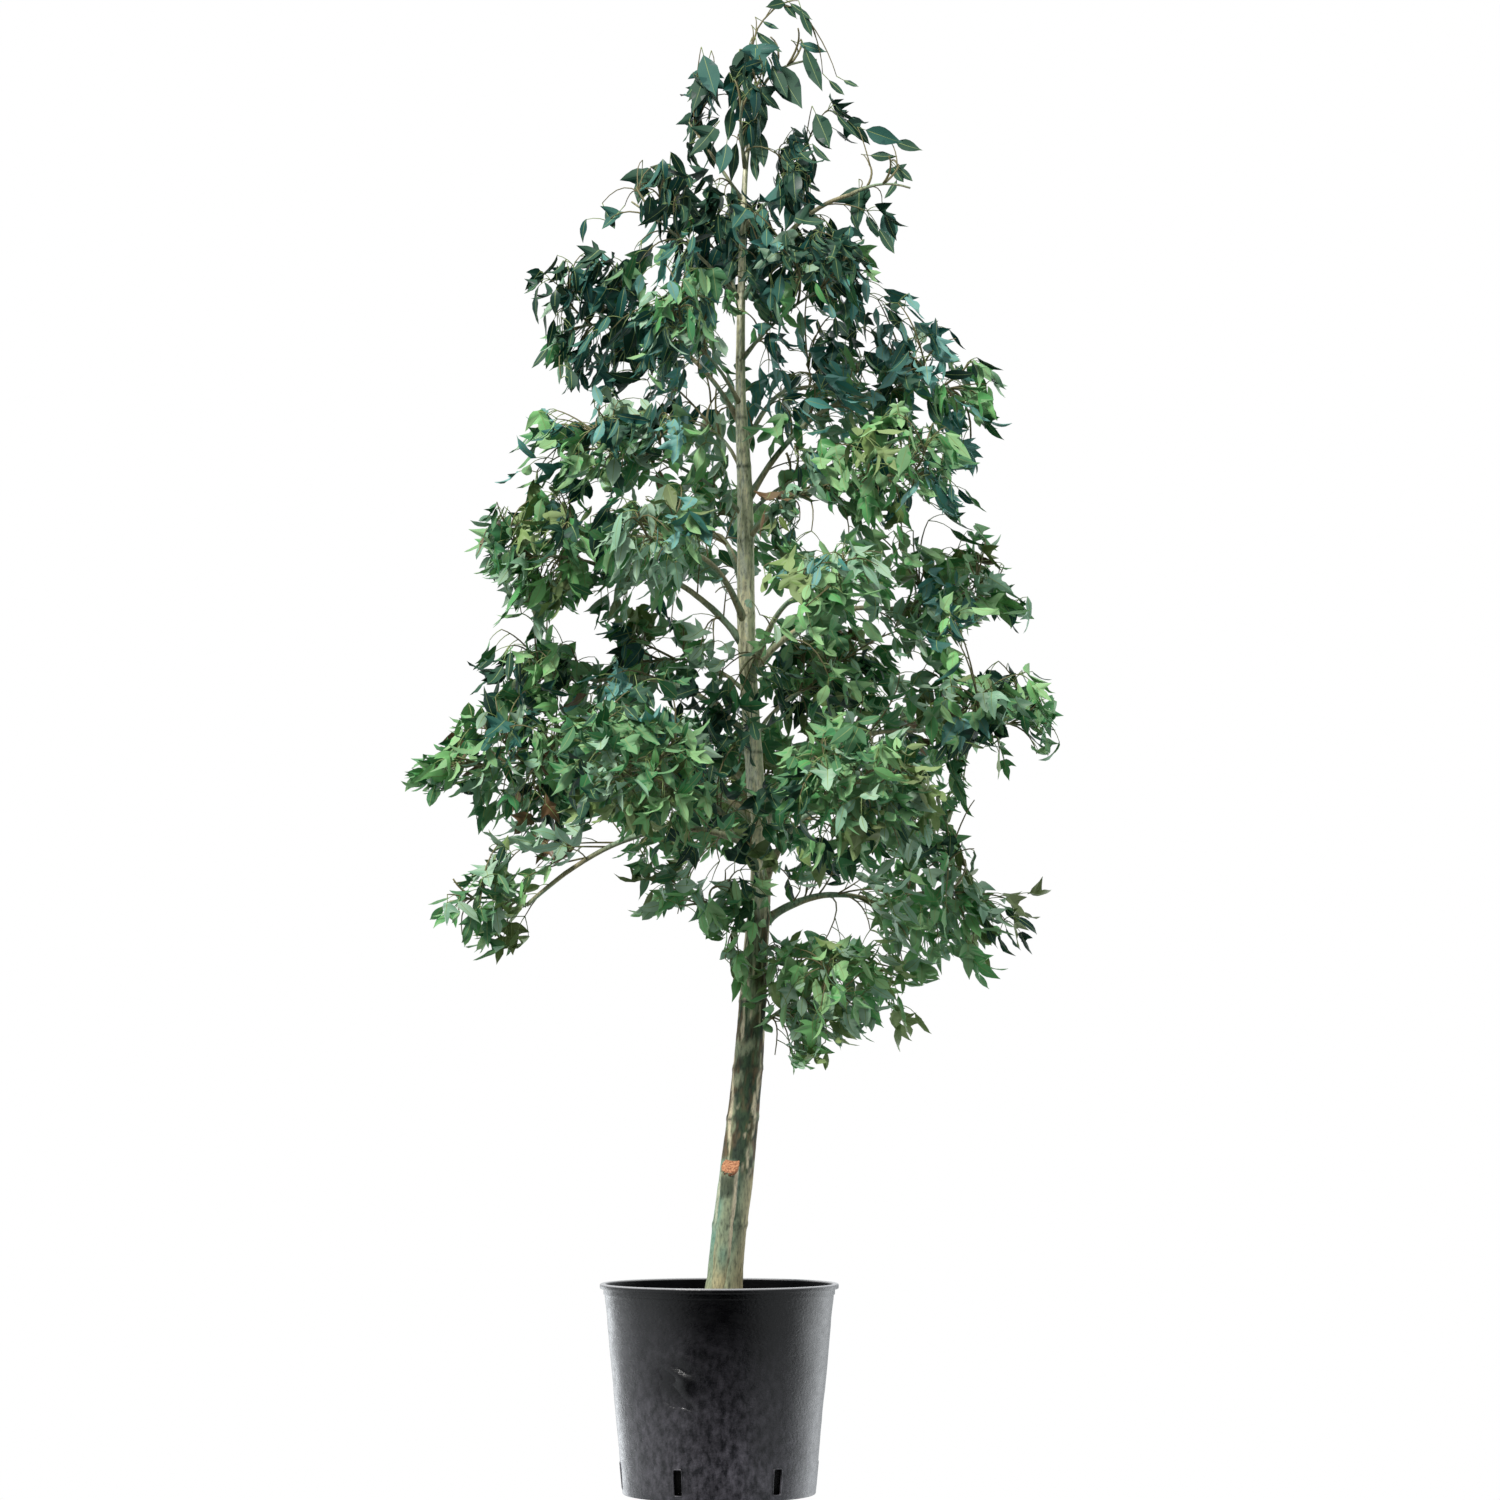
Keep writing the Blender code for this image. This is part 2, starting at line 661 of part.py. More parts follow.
def try_leaf(mass, space, direction, lines, dice):
    """A leaf that hangs near a place of the space's shell, on a petiole from the nearest twig."""
    size = mass.leaf_length * dice.uniform(0.88, 1.10)
    middle = spot_in(space, *(direction * dice.uniform(*LEAF_SHELL)))
    away = (middle - space.centre).normalized()
    level_away = Vector((away.x, away.y, 0.0))
    slant = Vector([dice.uniform(-0.5, 0.5) for _ in range(3)])
    droop = (0.75 - 0.55 * direction.z) * dice.uniform(0.6, 1.3)
    forward = (level_away * dice.uniform(0.0, 0.7) - UP * droop + slant).normalized()
    above = away + UP * 0.3 + Vector([dice.uniform(-0.5, 0.5) for _ in range(3)])
    base = middle - forward * size * 0.5
    root = nearest_on(lines, base)
    if not PETIOLE_RANGE[0] <= (base - root).length <= PETIOLE_RANGE[1]:
        return None
    return leaf_corners(root, base, forward, above, size)


def leaf_tree(corners, gap=0.004):
    """A search tree of a leaf without the root of its petiole, which is sunk in a twig."""
    root, base = (corners[0] + corners[2]) / 2, (corners[3] + corners[5]) / 2
    shift = (base - root).normalized() * gap
    return BVHTree.FromPolygons([c + shift for c in corners[:3]] + corners[3:], LEAF_FACES)


def keeps_to(space, others, point, reach):
    """Whether a point is in this space, and in no other space that has a stronger claim to it."""
    own = level(space, point)
    return own <= reach and all(level(other, point) > own - CLAIM_SLACK for other in others)


def leaf_fits(space, others, corners, limbs, placed, tools):
    """Whether a leaf stays in its space, clear of limbs, of other masses and of the leaves before it."""
    reach = 1.0 + OVERHANG / min(space.half)
    if not all(keeps_to(space, others, corner, reach) for corner in (corners[6], corners[8], corners[9])):
        return False
    tree = leaf_tree(corners)
    return not any(tree.overlap(other) for other in tools.obstacles + limbs + placed)


class Tools:
    """What the growth of a mass needs: shared shapes, and search trees of what it has to miss."""

    def __init__(self, model, sleeve, material):
        self.model = model
        self.sleeve = sleeve
        self.material = material
        self.obstacles = []
        self.joins_trunk = False


def main():
    """Builds the whole model."""
    clear_scene()
    model = new_collection("kurrajong_tree")
    cutters = new_collection("cutters")
    finishes = {name: make_material(name) for name in MATERIALS}
    make_pot(model, cutters, finishes["pot"])
    make_soil(model, finishes["soil"])
    trunk, sleeve = make_trunk(model, finishes["bark"])
    stub = make_stub(model, sleeve, finishes["cut_wood"])

    tools = Tools(model, sleeve, finishes["leaf"])
    tools.obstacles += [shape_tree(sleeve.data), shape_tree(stub.data)]
    spaces = [space_of(mass) for mass in MASSES]
    starts = []
    for mass, space in zip(MASSES, spaces):
        if mass.name == "leader":
            tip, _ = trunk_at(mass.foot)
            below, _ = trunk_at(mass.foot - 0.02)
            heading = (tip - below).normalized()
            starts.append((tip + heading * GAP, heading, False))
        elif has_bough(mass, space):
            bough, end, heading = make_bough(mass, space, model, sleeve, finishes["bark"])
            tools.obstacles.append(shape_tree(bough.data))
            starts.append((end + heading * GAP, heading, False))
        else:
            foot, radius = trunk_at(mass.foot)
            start = foot + space.outward * radius * SUNK
            starts.append((start, (space.outward + UP).normalized(), True))
    total = 0
    for mass, space, (start, heading, joins_trunk) in zip(MASSES, spaces, starts):
        tools.joins_trunk = joins_trunk
        others = [other for other in spaces if other is not space]
        total += grow_mass(mass, space, others, start, heading, tools)
    bpy.data.objects.remove(sleeve)
    print("leaves:", total, "objects:", len(model.objects))


main()
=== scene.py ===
"""Looks of a young kurrajong tree in a black nursery pot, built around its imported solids.

Metres, +Z up, -Y towards the camera. The trunk, boughs and masses of foliage repeat the named sizes that
the solids were grown from. Here each mass is carried on to fine twigs and leaves of life size.
"""

import json
import math
import random
from collections import namedtuple
from itertools import product

import bpy
import numpy as np
from mathutils import Matrix, Vector

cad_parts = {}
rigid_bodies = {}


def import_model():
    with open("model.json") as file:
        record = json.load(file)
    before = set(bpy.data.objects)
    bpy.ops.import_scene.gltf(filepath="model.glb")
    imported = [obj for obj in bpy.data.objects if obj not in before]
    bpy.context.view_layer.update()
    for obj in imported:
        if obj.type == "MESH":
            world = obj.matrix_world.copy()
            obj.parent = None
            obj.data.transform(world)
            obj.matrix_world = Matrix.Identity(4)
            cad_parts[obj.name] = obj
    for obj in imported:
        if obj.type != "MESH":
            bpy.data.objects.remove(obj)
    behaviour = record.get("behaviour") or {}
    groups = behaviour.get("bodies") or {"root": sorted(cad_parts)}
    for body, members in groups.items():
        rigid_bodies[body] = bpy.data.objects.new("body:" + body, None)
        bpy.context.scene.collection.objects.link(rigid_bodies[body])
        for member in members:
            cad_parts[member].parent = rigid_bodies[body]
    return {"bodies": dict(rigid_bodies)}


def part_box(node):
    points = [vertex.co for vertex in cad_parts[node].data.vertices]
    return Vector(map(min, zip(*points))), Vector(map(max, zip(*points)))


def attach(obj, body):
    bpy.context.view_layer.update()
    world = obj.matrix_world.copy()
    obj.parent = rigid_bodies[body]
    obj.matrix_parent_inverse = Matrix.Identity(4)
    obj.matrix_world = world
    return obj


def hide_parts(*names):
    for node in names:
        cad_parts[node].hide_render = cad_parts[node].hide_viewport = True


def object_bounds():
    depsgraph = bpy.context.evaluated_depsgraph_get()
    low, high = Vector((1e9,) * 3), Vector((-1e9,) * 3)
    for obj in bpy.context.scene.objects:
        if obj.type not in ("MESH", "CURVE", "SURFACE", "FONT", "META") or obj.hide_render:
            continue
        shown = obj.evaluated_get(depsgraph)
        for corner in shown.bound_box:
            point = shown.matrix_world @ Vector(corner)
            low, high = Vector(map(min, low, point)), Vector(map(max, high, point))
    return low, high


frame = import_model()
cad_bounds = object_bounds()
CAD_LOW, CAD_HIGH = cad_bounds
BODY = next(iter(frame["bodies"]))

UP = Vector((0.0, 0.0, 1.0))
GOLDEN_ANGLE = math.pi * (3.0 - math.sqrt(5.0))


def in_metres(rows):
    """Rows of whole millimetres as rows of metres. Names stay as they are."""
    return [tuple(v if isinstance(v, str) else v / 1000 for v in row) for row in rows]


# Camera, at the height of a person's waist and looking a little up
CAMERA_AT = Vector((0.054, -7.000, 0.690))
AIM_AT = Vector((0.054, 0.000, 1.306))
LENS_MM = 94.8
SENSOR_MM = 36.0
SKY_LIGHT = 1.00
GROUND_LIGHT = 0.72
SKY_COLOUR = (0.93, 0.97, 1.0)
SUN_STRENGTH = 4.2
SUN_HEADING = (0.50, 0.66, -1.00)
SUN_WIDTH_DEG = 12.0
SUN_COLOUR = (1.0, 0.975, 0.94)
# Soft patches in the world's light: direction, half width in degrees and strength. The first one
# darkens the front.
LIGHT_PATCHES = (
    ((0.0, -1.0, -0.28), 48.0, -0.84),
    ((-0.985, -0.170, -0.25), 22.0, 0.5),
    ((-0.914, 0.407, -0.25), 14.0, 1.4),
    ((-0.500, 0.866, -0.20), 18.0, 2.6),
    ((0.820, 0.570, -0.25), 34.0, 2.2),
)
PATCH_CORE = 0.45

# Pot
_, POT_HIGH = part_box("pot")
POT_HEIGHT = POT_HIGH.z
LIP_RADIUS = POT_HIGH.x
COLLAR_RADIUS = LIP_RADIUS - 0.0085
BASE_RADIUS = 0.169
LIP_DEPTH = 0.009
COLLAR_DEPTH = 0.010
COLLAR_STEP = 0.002
WALL_TOP = POT_HEIGHT - LIP_DEPTH - COLLAR_DEPTH
WALL = 0.0035
POT_SIDES = 180
POT_STEP = 0.0048
SLOT_COUNT = 6
SLOT_WIDTH = 0.017
SLOT_LOW = 0.010
SLOT_HIGH = 0.055
SLOT_CORNER = 0.004
SLOT_FIRST_DEG = -114.0
CUTTER_REACH = 0.02
RIM_RADIUS = 0.0016
RIM_SUNK = 0.0008
DENT_TURN_DEG = -112.0
DENT_HEIGHT = 0.205
DENT_HALF_DEG = 10.0
DENT_HALF_HEIGHT = 0.050
DENT_DEPTH = 0.0036
CREASE_DEPTH = 0.0092
CREASE_LEAN = 0.0016
WALL_FLAT = 0.0010

# Potting mix
SOIL_TOP = 0.320
SOIL_CLEAR = 0.0006
SOIL_SIDES = 150
SOIL_RINGS = 44
CHIP_COUNT = 620
CHIP_SIZE = (0.006, 0.020)

# Trunk: height, sideways, depth and radius, from the soil to the tip
TRUNK_ROWS = (
    (0.3203, 0.007, 0.000, 0.0350),
    (0.375, 0.010, 0.000, 0.0310),
    (0.580, 0.033, 0.002, 0.0295),
    (0.760, 0.052, 0.004, 0.0258),
    (0.950, 0.064, 0.002, 0.0215),
    (1.090, 0.073, -0.002, 0.0178),
    (1.270, 0.062, -0.004, 0.0162),
    (1.500, 0.048, 0.000, 0.0158),
    (1.770, 0.045, 0.003, 0.0140),
    (1.950, 0.037, 0.002, 0.0092),
    (2.200, 0.040, -0.002, 0.0062),
    (2.380, 0.048, 0.000, 0.0045),
    (2.490, 0.072, 0.000, 0.0034),
)
TRUNK_SIDES = 72
TRUNK_RINGS = 420
SCAR_HEIGHTS = (
    0.468, 0.655, 0.742, 0.862, 1.118, 1.302, 1.405, 1.548, 1.682, 1.816, 1.905, 2.010, 2.130, 2.260,
)
STUB_TOP = 0.572
STUB_CUT_DEG = 42.0
STUB_AZIMUTH_DEG = 250.0
STUB_RADIUS = 0.0150
STUB_OFFSET = (0.018, 0.036)
STUB_RINGS = 78
STUB_SIDES = 48
CUT_RINGS = 7
CUT_SIDES = 40
CUT_FOOT = -0.005
CUT_RISE = 0.0022

# Boughs and stems, by the same rule as the solids
BOUGH_RADIUS_SHARE = 0.42
BOUGH_TIP_RADIUS = 0.0036
BOUGH_POINTS = 27
LEAST_BOUGH = 0.12
SUNK = 0.55
STEM_RADIUS = 0.0040
STEM_TIP_RADIUS = 0.0018
STEM_REACH = 0.55
STEM_POINTS = 8
SIDE_TWIGS = 3
TWIG_REACH = 0.50
TWIG_LIFT = 0.30
TWIG_SIDES = 5
OVERHANG = 0.004

# Foliage: each row is a mass. It leaves the trunk at a height, and its space is an ellipsoid with a centre
# and half sizes outward from the trunk, sideways and upright.
Mass = namedtuple("Mass", "name foot centre half")
MASS_ROWS = in_metres((
    ("left_skirt", 1130, -415, -110, 1040, 100, 100, 100),
    ("left_low_outer", 1180, -370, -20, 1285, 200, 150, 150),
    ("left_low_inner", 1090, -140, -290, 1240, 160, 150, 165),
    ("left_low_upper", 1330, -304, 100, 1450, 110, 120, 85),
    ("left_mid_low", 1410, -125, 120, 1480, 125, 120, 120),
    ("left_mid_outer", 1500, -314, -40, 1652, 130, 130, 130),
    ("left_mid_inner", 1540, -111, -250, 1654, 130, 130, 110),
    ("left_upmid", 1730, -185, -100, 1835, 160, 130, 110),
    ("left_high_outer", 1900, -228, 60, 2088, 110, 110, 140),
    ("left_high_inner", 1930, -60, -150, 2043, 110, 110, 140),
    ("left_top", 2120, -112, -60, 2288, 88, 78, 85), ("top_left", 2300, -30, 30, 2463, 50, 58, 108),
    ("top_mid", 2360, 50, -60, 2470, 55, 55, 100), ("leader", 2490, 128, 0, 2570, 85, 80, 118),
    ("top_right", 2250, 128, 40, 2372, 60, 65, 92),
    ("centre_high", 2100, 10, 150, 2250, 120, 120, 115),
    ("right_top", 2120, 297, -60, 2319, 80, 70, 130),
    ("right_high_inner", 2010, 169, -100, 2142, 125, 120, 120),
    ("right_high_outer", 1760, 375, 0, 1963, 150, 130, 130),
    ("right_high_mid", 1850, 202, 220, 2000, 120, 120, 115),
    ("right_upmid", 1690, 325, -120, 1785, 140, 130, 125),
    ("right_twig", 1730, 138, 10, 1818, 62, 60, 88),
    ("right_mid_outer", 1450, 425, 20, 1575, 150, 130, 100),
    ("right_mid_inner", 1430, 189, -270, 1573, 135, 130, 95),
    ("right_lowmid", 1330, 195, 220, 1460, 150, 140, 125),
    ("right_low_outer", 1200, 474, -30, 1355, 155, 150, 115),
    ("right_low_inner", 1060, 240, -300, 1205, 170, 150, 155),
    ("right_skirt", 1000, 402, 110, 1064, 145, 140, 188),
    ("low_front", 810, 175, -50, 880, 145, 125, 135),
    ("low_left", 980, -30, -100, 1030, 95, 90, 90),
    ("back_low", 1120, 45, 410, 1267, 165, 160, 150),
    ("back_low_left", 1230, -187, 300, 1332, 150, 150, 130),
    ("back_low_right", 1160, 277, 320, 1315, 150, 150, 130),
    ("back_mid", 1580, -50, 320, 1740, 145, 150, 130),
    ("back_upmid", 1800, -30, 210, 1950, 110, 110, 120),
))
MASSES = [Mass(row[0], row[1], row[2:5], row[5:]) for row in MASS_ROWS]

# Masses that are thinner than the rest, as shares of the usual number of twigs
THINNER = {
    "leader": 0.0, "top_left": 0.25, "top_mid": 0.35, "top_right": 0.45, "right_top": 0.0, "left_top": 0.20,
    "right_twig": 0.50, "back_upmid": 0.55, "right_high_mid": 0.80, "left_skirt": 0.75, "low_left": 0.75,
}

# Gaps that show sky, as ellipses seen from the camera on the plane of the trunk: sideways, height and half
# sizes. Some lie between the sprays, and some cut into the crown's outline.
SKY_GAPS = in_metres((
    (217, 2320, 42, 75), (88, 2392, 14, 100), (10, 2430, 12, 60), (-262, 1528, 50, 29),
    (170, 1710, 38, 45), (118, 1822, 34, 32), (191, 1014, 80, 48), (490, 1490, 62, 52),
    (-16, 1548, 44, 52), (372, 1712, 32, 46), (-190, 2237, 48, 46), (-26, 1943, 40, 42),
    (-1, 1087, 56, 26), (465, 1266, 25, 48), (-211, 1142, 38, 42), (-257, 1912, 30, 32),
    (350, 1448, 34, 22), (94, 1568, 30, 23), (-98, 1483, 28, 31), (281, 2109, 17, 34),
    (137, 2004, 28, 28), (-309, 1826, 23, 23), (359, 1912, 14, 38), (4, 2352, 20, 17),
    (488, 1078, 21, 21), (432, 1170, 27, 28), (-105, 1385, 20, 13), (-375, 1756, 23, 29),
    (533, 1316, 20, 39), (98, 771, 23, 45), (341, 863, 22, 19), (-123, 2221, 19, 22), (150, 2110, 20, 18),
    (447, 1867, 12, 36), (213, 1896, 17, 20), (-161, 1935, 15, 15), (432, 1786, 18, 24),
    (325, 1580, 14, 16), (222, 2590, 40, 75), (250, 2370, 18, 40), (-180, 2330, 34, 44),
    (-310, 1950, 28, 50), (-424, 1573, 40, 50), (-478, 1420, 40, 50), (-495, 1163, 62, 55),
    (-481, 1105, 44, 34), (-84, 980, 36, 34), (472, 1150, 34, 34), (470, 2060, 36, 34),
    (430, 2080, 38, 24), (462, 2048, 36, 34), (550, 1612, 40, 44), (-525, 1350, 48, 48),
    (-490, 1640, 30, 90), (330, 2300, 20, 30), (532, 1660, 34, 30), (500, 1215, 40, 36),
    (-247, 986, 100, 115), (-428, 1519, 30, 34), (524, 1718, 36, 30), (568, 1468, 36, 28),
    (466, 1452, 30, 18), (508, 1112, 26, 26), (435, 1995, 12, 14), (170, 715, 60, 30),
    (-260, 2098, 10, 20), (-212, 2045, 16, 16), (10, 2072, 16, 22), (-121, 2161, 18, 9),
    (72, 2008, 26, 17), (182, 2081, 16, 14), (263, 2024, 13, 18), (267, 1967, 15, 18),
    (366, 2019, 14, 22), (410, 1971, 10, 12), (159, 1953, 14, 12), (159, 1862, 11, 22),
    (-105, 1855, 13, 10), (-102, 1808, 13, 11), (-219, 1761, 14, 22), (-139, 1742, 20, 16),
    (-141, 1693, 24, 13), (-3, 1672, 13, 28), (72, 1896, 12, 11), (-105, 1924, 12, 13),
    (-59, 1992, 18, 18), (-240, 1851, 11, 14), (-306, 1632, 14, 13), (-237, 1647, 9, 12),
    (-52, 1589, 19, 24), (-81, 1546, 16, 11), (-132, 1575, 11, 9), (-203, 1582, 20, 16),
    (-215, 1486, 34, 25), (19, 1438, 16, 18), (-43, 1443, 9, 19), (213, 1699, 25, 32),
    (284, 1483, 16, 12), (134, 1560, 12, 9), (249, 1564, 14, 8), (283, 1328, 18, 14), (191, 1148, 13, 11),
    (435, 1100, 12, 18), (378, 1091, 9, 9), (350, 1036, 9, 9), (-52, 955, 34, 45), (-190, 1066, 18, 24),
    (-342, 1100, 20, 24), (-465, 1205, 24, 30), (-492, 1066, 22, 14), (238, 768, 20, 20),
    (-352, 1527, 18, 36), (-345, 1928, 28, 20), (395, 2088, 35, 18), (456, 2020, 20, 18),
    (-440, 1125, 30, 28), (-30, 925, 40, 18), (395, 848, 34, 30), (388, 1688, 40, 18),
    (-385, 1515, 28, 30), (-345, 2075, 22, 35), (-365, 1895, 25, 22), (-535, 1306, 28, 16),
    (-445, 1880, 40, 20), (-20, 945, 16, 20), (-58, 1024, 14, 18), (-6, 890, 26, 50), (70, 712, 36, 36),
    (226, 755, 20, 22), (270, 974, 18, 16), (-160, 1045, 24, 22), (480, 1780, 30, 50),
    (480, 1850, 12, 30), (408, 905, 18, 30), (-470, 1130, 30, 30), (-545, 1215, 30, 18),
))
# Places that leafy side twigs reach from the nearest limb, where sprays fill in between the masses: sideways
# as the camera sees it on the plane of the trunk, real depth, and height as seen on that plane
SIDE_SPRAYS = in_metres((
    (-203, -20, 2262), (-145, -50, 2185), (-190, -20, 2180), (-305, 20, 2155), (90, -60, 2075),
    (88, 40, 2010), (320, -50, 2112), (268, 20, 2130), (-309, -50, 1888), (-327, -50, 1805),
    (198, -80, 1850), (205, -100, 1780), (143, -80, 1720), (231, -100, 1680), (320, -100, 1668),
    (270, 60, 1700), (426, -30, 1668), (392, 60, 1660), (-283, -60, 1585), (-336, -50, 1562),
    (-389, 0, 1522), (-8, -60, 1588), (6, -80, 1450), (-20, -90, 1410), (385, 0, 1492), (362, 30, 1505),
    (412, 10, 1462), (417, -20, 1232), (434, 20, 1255), (169, 50, 1102), (143, 80, 1085), (205, 0, 1115),
    (0, 30, 1108), (-50, 20, 1115), (20, -60, 965), (10, -40, 935), (293, -20, 940), (325, 40, 925),
    (143, -60, 785), (179, -60, 780), (512, 110, 1040), (505, 80, 1005), (350, 60, 935), (195, -10, 2465),
    (36, -60, 2209), (27, -50, 2255), (45, -70, 2154), (33, -60, 2100), (19, -50, 2292),
    (-375, -20, 1492), (-368, 0, 1447), (-354, -30, 1551), (-304, -30, 1587), (-327, -50, 1618),
    (-212, -50, 1591), (10, -70, 1465), (19, -90, 1411), (4, -90, 1384), (-35, -50, 1483), (346, 0, 1483),
    (364, 20, 1451), (320, 20, 1443), (391, 0, 1501), (373, 20, 1411), (98, -50, 2044), (81, -50, 2118),
    (125, 30, 2026), (284, 0, 2118), (134, -80, 1844), (143, -80, 1772), (107, -100, 1718),
    (164, -100, 1699), (89, -80, 1754), (205, -100, 1754), (364, -20, 1754), (373, 0, 1718),
    (346, 0, 1699), (-194, -50, 1790), (-292, -30, 1917), (-327, -30, 1808), (-176, -20, 2187),
    (-212, -20, 2191), (-265, 0, 2182), (-141, -40, 2227), (-380, -100, 1101), (-354, -100, 1128),
    (-318, -100, 1132), (-416, -100, 1089), (-283, -80, 1137), (-389, -100, 1066), (-336, -100, 1083),
    (-141, -80, 1128), (-114, -100, 1092), (-97, -100, 1048), (-52, -80, 1137), (10, -80, 1092),
    (-35, -80, 1110), (27, -90, 1039), (45, -90, 995), (33, -80, 951), (19, -70, 924), (58, -90, 1066),
    (27, -120, 1315), (45, -120, 1199), (36, -110, 1092), (33, -100, 1393), (54, -100, 1349),
    (19, -120, 1253), (58, -100, 1128), (125, -50, 1075), (143, 0, 1057), (267, 30, 986), (284, 0, 960),
    (249, 50, 1075), (98, -60, 960), (143, -80, 951), (213, -60, 960), (355, 50, 889), (320, 30, 853),
    (302, 20, 906), (134, -60, 774), (98, -50, 765), (-545, -20, 1249), (-522, -20, 1270),
    (-495, 0, 1279), (497, 0, 1465), (470, 0, 1483), (426, 0, 1235), (453, 0, 1217), (320, 0, 1522),
    (5, -60, 1800), (4, -50, 1815), (338, 20, 1520), (462, 0, 1659), (-40, -20, 2322), (-10, -30, 2334),
    (8, -30, 2312), (152, -30, 2308), (190, -30, 2262), (-310, -30, 1196), (-335, -20, 1190),
    (-165, 0, 1592), (-385, 0, 1725), (-390, 0, 1690), (445, 20, 1832), (440, 0, 1830), (110, -30, 1930),
    (95, -30, 1900), (115, -80, 1735), (118, -80, 1705), (-130, -30, 1972), (-285, 0, 1975),
    (-275, -30, 1765), (-292, -30, 1776), (-312, -30, 1560), (-326, 0, 1548), (-172, -40, 1596),
    (85, -60, 1430), (452, 50, 1130), (435, 80, 940), (-375, -70, 992), (255, 20, 2068),
    (-152, -30, 1988), (-10, -70, 1500), (475, 0, 1680), (125, -50, 772), (150, -50, 768),
    (-345, -60, 1010), (-375, -60, 995), (448, 0, 1845), (400, 0, 1325),
))
LONGEST_SPRAY = 0.26
SPRAY_LEAFY = 0.11
# Half width of the crown in depth, by height, and how many sprays are tried in it, behind and before the
# masses
CROWN_ROWS = (
    (0.85, 0.10), (1.00, 0.26), (1.20, 0.47), (1.40, 0.48), (1.65, 0.42), (1.90, 0.34), (2.10, 0.26),
    (2.30, 0.15), (2.45, 0.07),
)
FILLER_SPRAYS = 420
FILLER_CORE = 0.50
FILLER_SLACK = 1.3
# Sprays along the bare boughs
SPRAY_STEP = 0.055
SPRAY_REACH = (0.045, 0.095)
# Heights between which the camera sees the trunk in front of the leaves
TRUNK_SHOWS = (1.400, 2.070)
TRUNK_HIDDEN = 0.9

# Leaves that stand alone round the crown's tip, each read as a line from its base to its tip: sideways and
# height of both, and its shape
TIP_DEPTH = -0.010
TIP_ARCH = in_metres((
    (72, 2490), (52, 2560), (70, 2620), (104, 2655), (140, 2652), (168, 2618), (182, 2560),
))
LONE_LEAVES = in_metres((
    (118, 2660, 78, 2644, "ovate"), (126, 2658, 166, 2622, "lance"), (146, 2646, 163, 2588, "lance"),
    (116, 2659, 138, 2626, "ovate"), (77, 2629, 106, 2612, "lance"), (66, 2610, 108, 2556, "lance"),
    (100, 2548, 153, 2450, "ovate"), (96, 2576, 108, 2520, "lance"), (143, 2588, 192, 2568, "ovate"),
    (152, 2578, 182, 2490, "lance"), (196, 2520, 226, 2488, "lance"), (222, 2516, 250, 2496, "lance"),
    (172, 2456, 206, 2378, "ovate"), (210, 2453, 246, 2406, "lance"), (52, 2584, 22, 2506, "ovate"),
    (63, 2490, 92, 2434, "lance"), (40, 2502, 56, 2440, "ovate"), (75, 2472, 70, 2400, "ovate"),
    (70, 2426, 84, 2345, "lance"), (56, 2386, 72, 2328, "lance"), (318, 2358, 350, 2325, "lance"),
    (22, 2472, 12, 2400, "lance"), (30, 2404, 18, 2330, "lance"), (93, 2546, 124, 2470, "lance"),
    (58, 2590, 46, 2500, "ovate"), (66, 2580, 78, 2505, "three_lobed"), (34, 2560, 28, 2480, "lance"),
    (60, 2510, 30, 2440, "ovate"), (70, 2500, 105, 2450, "three_lobed"), (66, 2430, 62, 2350, "lance"),
    (52, 2450, 36, 2385, "ovate"), (-20, 2560, -48, 2455, "lance"), (-30, 2562, -6, 2470, "ovate"),
    (262, 2426, 330, 2398, "ovate"), (316, 2405, 364, 2386, "ovate"), (270, 2380, 318, 2374, "ovate"),
    (312, 2360, 330, 2320, "three_lobed"), (318, 2335, 298, 2290, "lance"),
    (296, 2280, 318, 2204, "ovate"), (250, 2318, 252, 2232, "three_lobed"),
    (268, 2270, 282, 2220, "lance"), (-140, 2356, -142, 2282, "three_lobed"),
    (-112, 2352, -150, 2300, "ovate"), (-104, 2350, -92, 2268, "lance"),
    (-180, 2276, -210, 2236, "three_lobed"), (-206, 2280, -186, 2234, "lance"),
    (-10, 2430, -50, 2372, "three_lobed"), (12, 2400, 4, 2330, "ovate"),
))

# Leaves
LEAF_LENGTH = (0.040, 0.070)
THICKNESS = 0.0007
RIB_THICKNESS = 0.0010
RIB_HALF = 0.0008
TWIGS_PER_AREA = 140.0
LEAST_TWIGS = 5
LEAF_STEP = 0.022
LEAF_TRIES = 7
LEAVES_AT_TIP = 3
PETIOLE_LENGTH = (0.018, 0.042)
PETIOLE_RADIUS = (0.0011, 0.0007)
PETIOLE_POINTS = 4
INTO_BLADE = 0.002
LEAST_APART = 0.0155
PAST_BOX = 0.020
TRUNK_CLEAR = 0.005
TIP_SLACK = 0.55
# Where the crown's leaves change from broad and lobed to longer, slender and hanging ones
LOW_CROWN = 1.15
HIGH_CROWN = 2.25
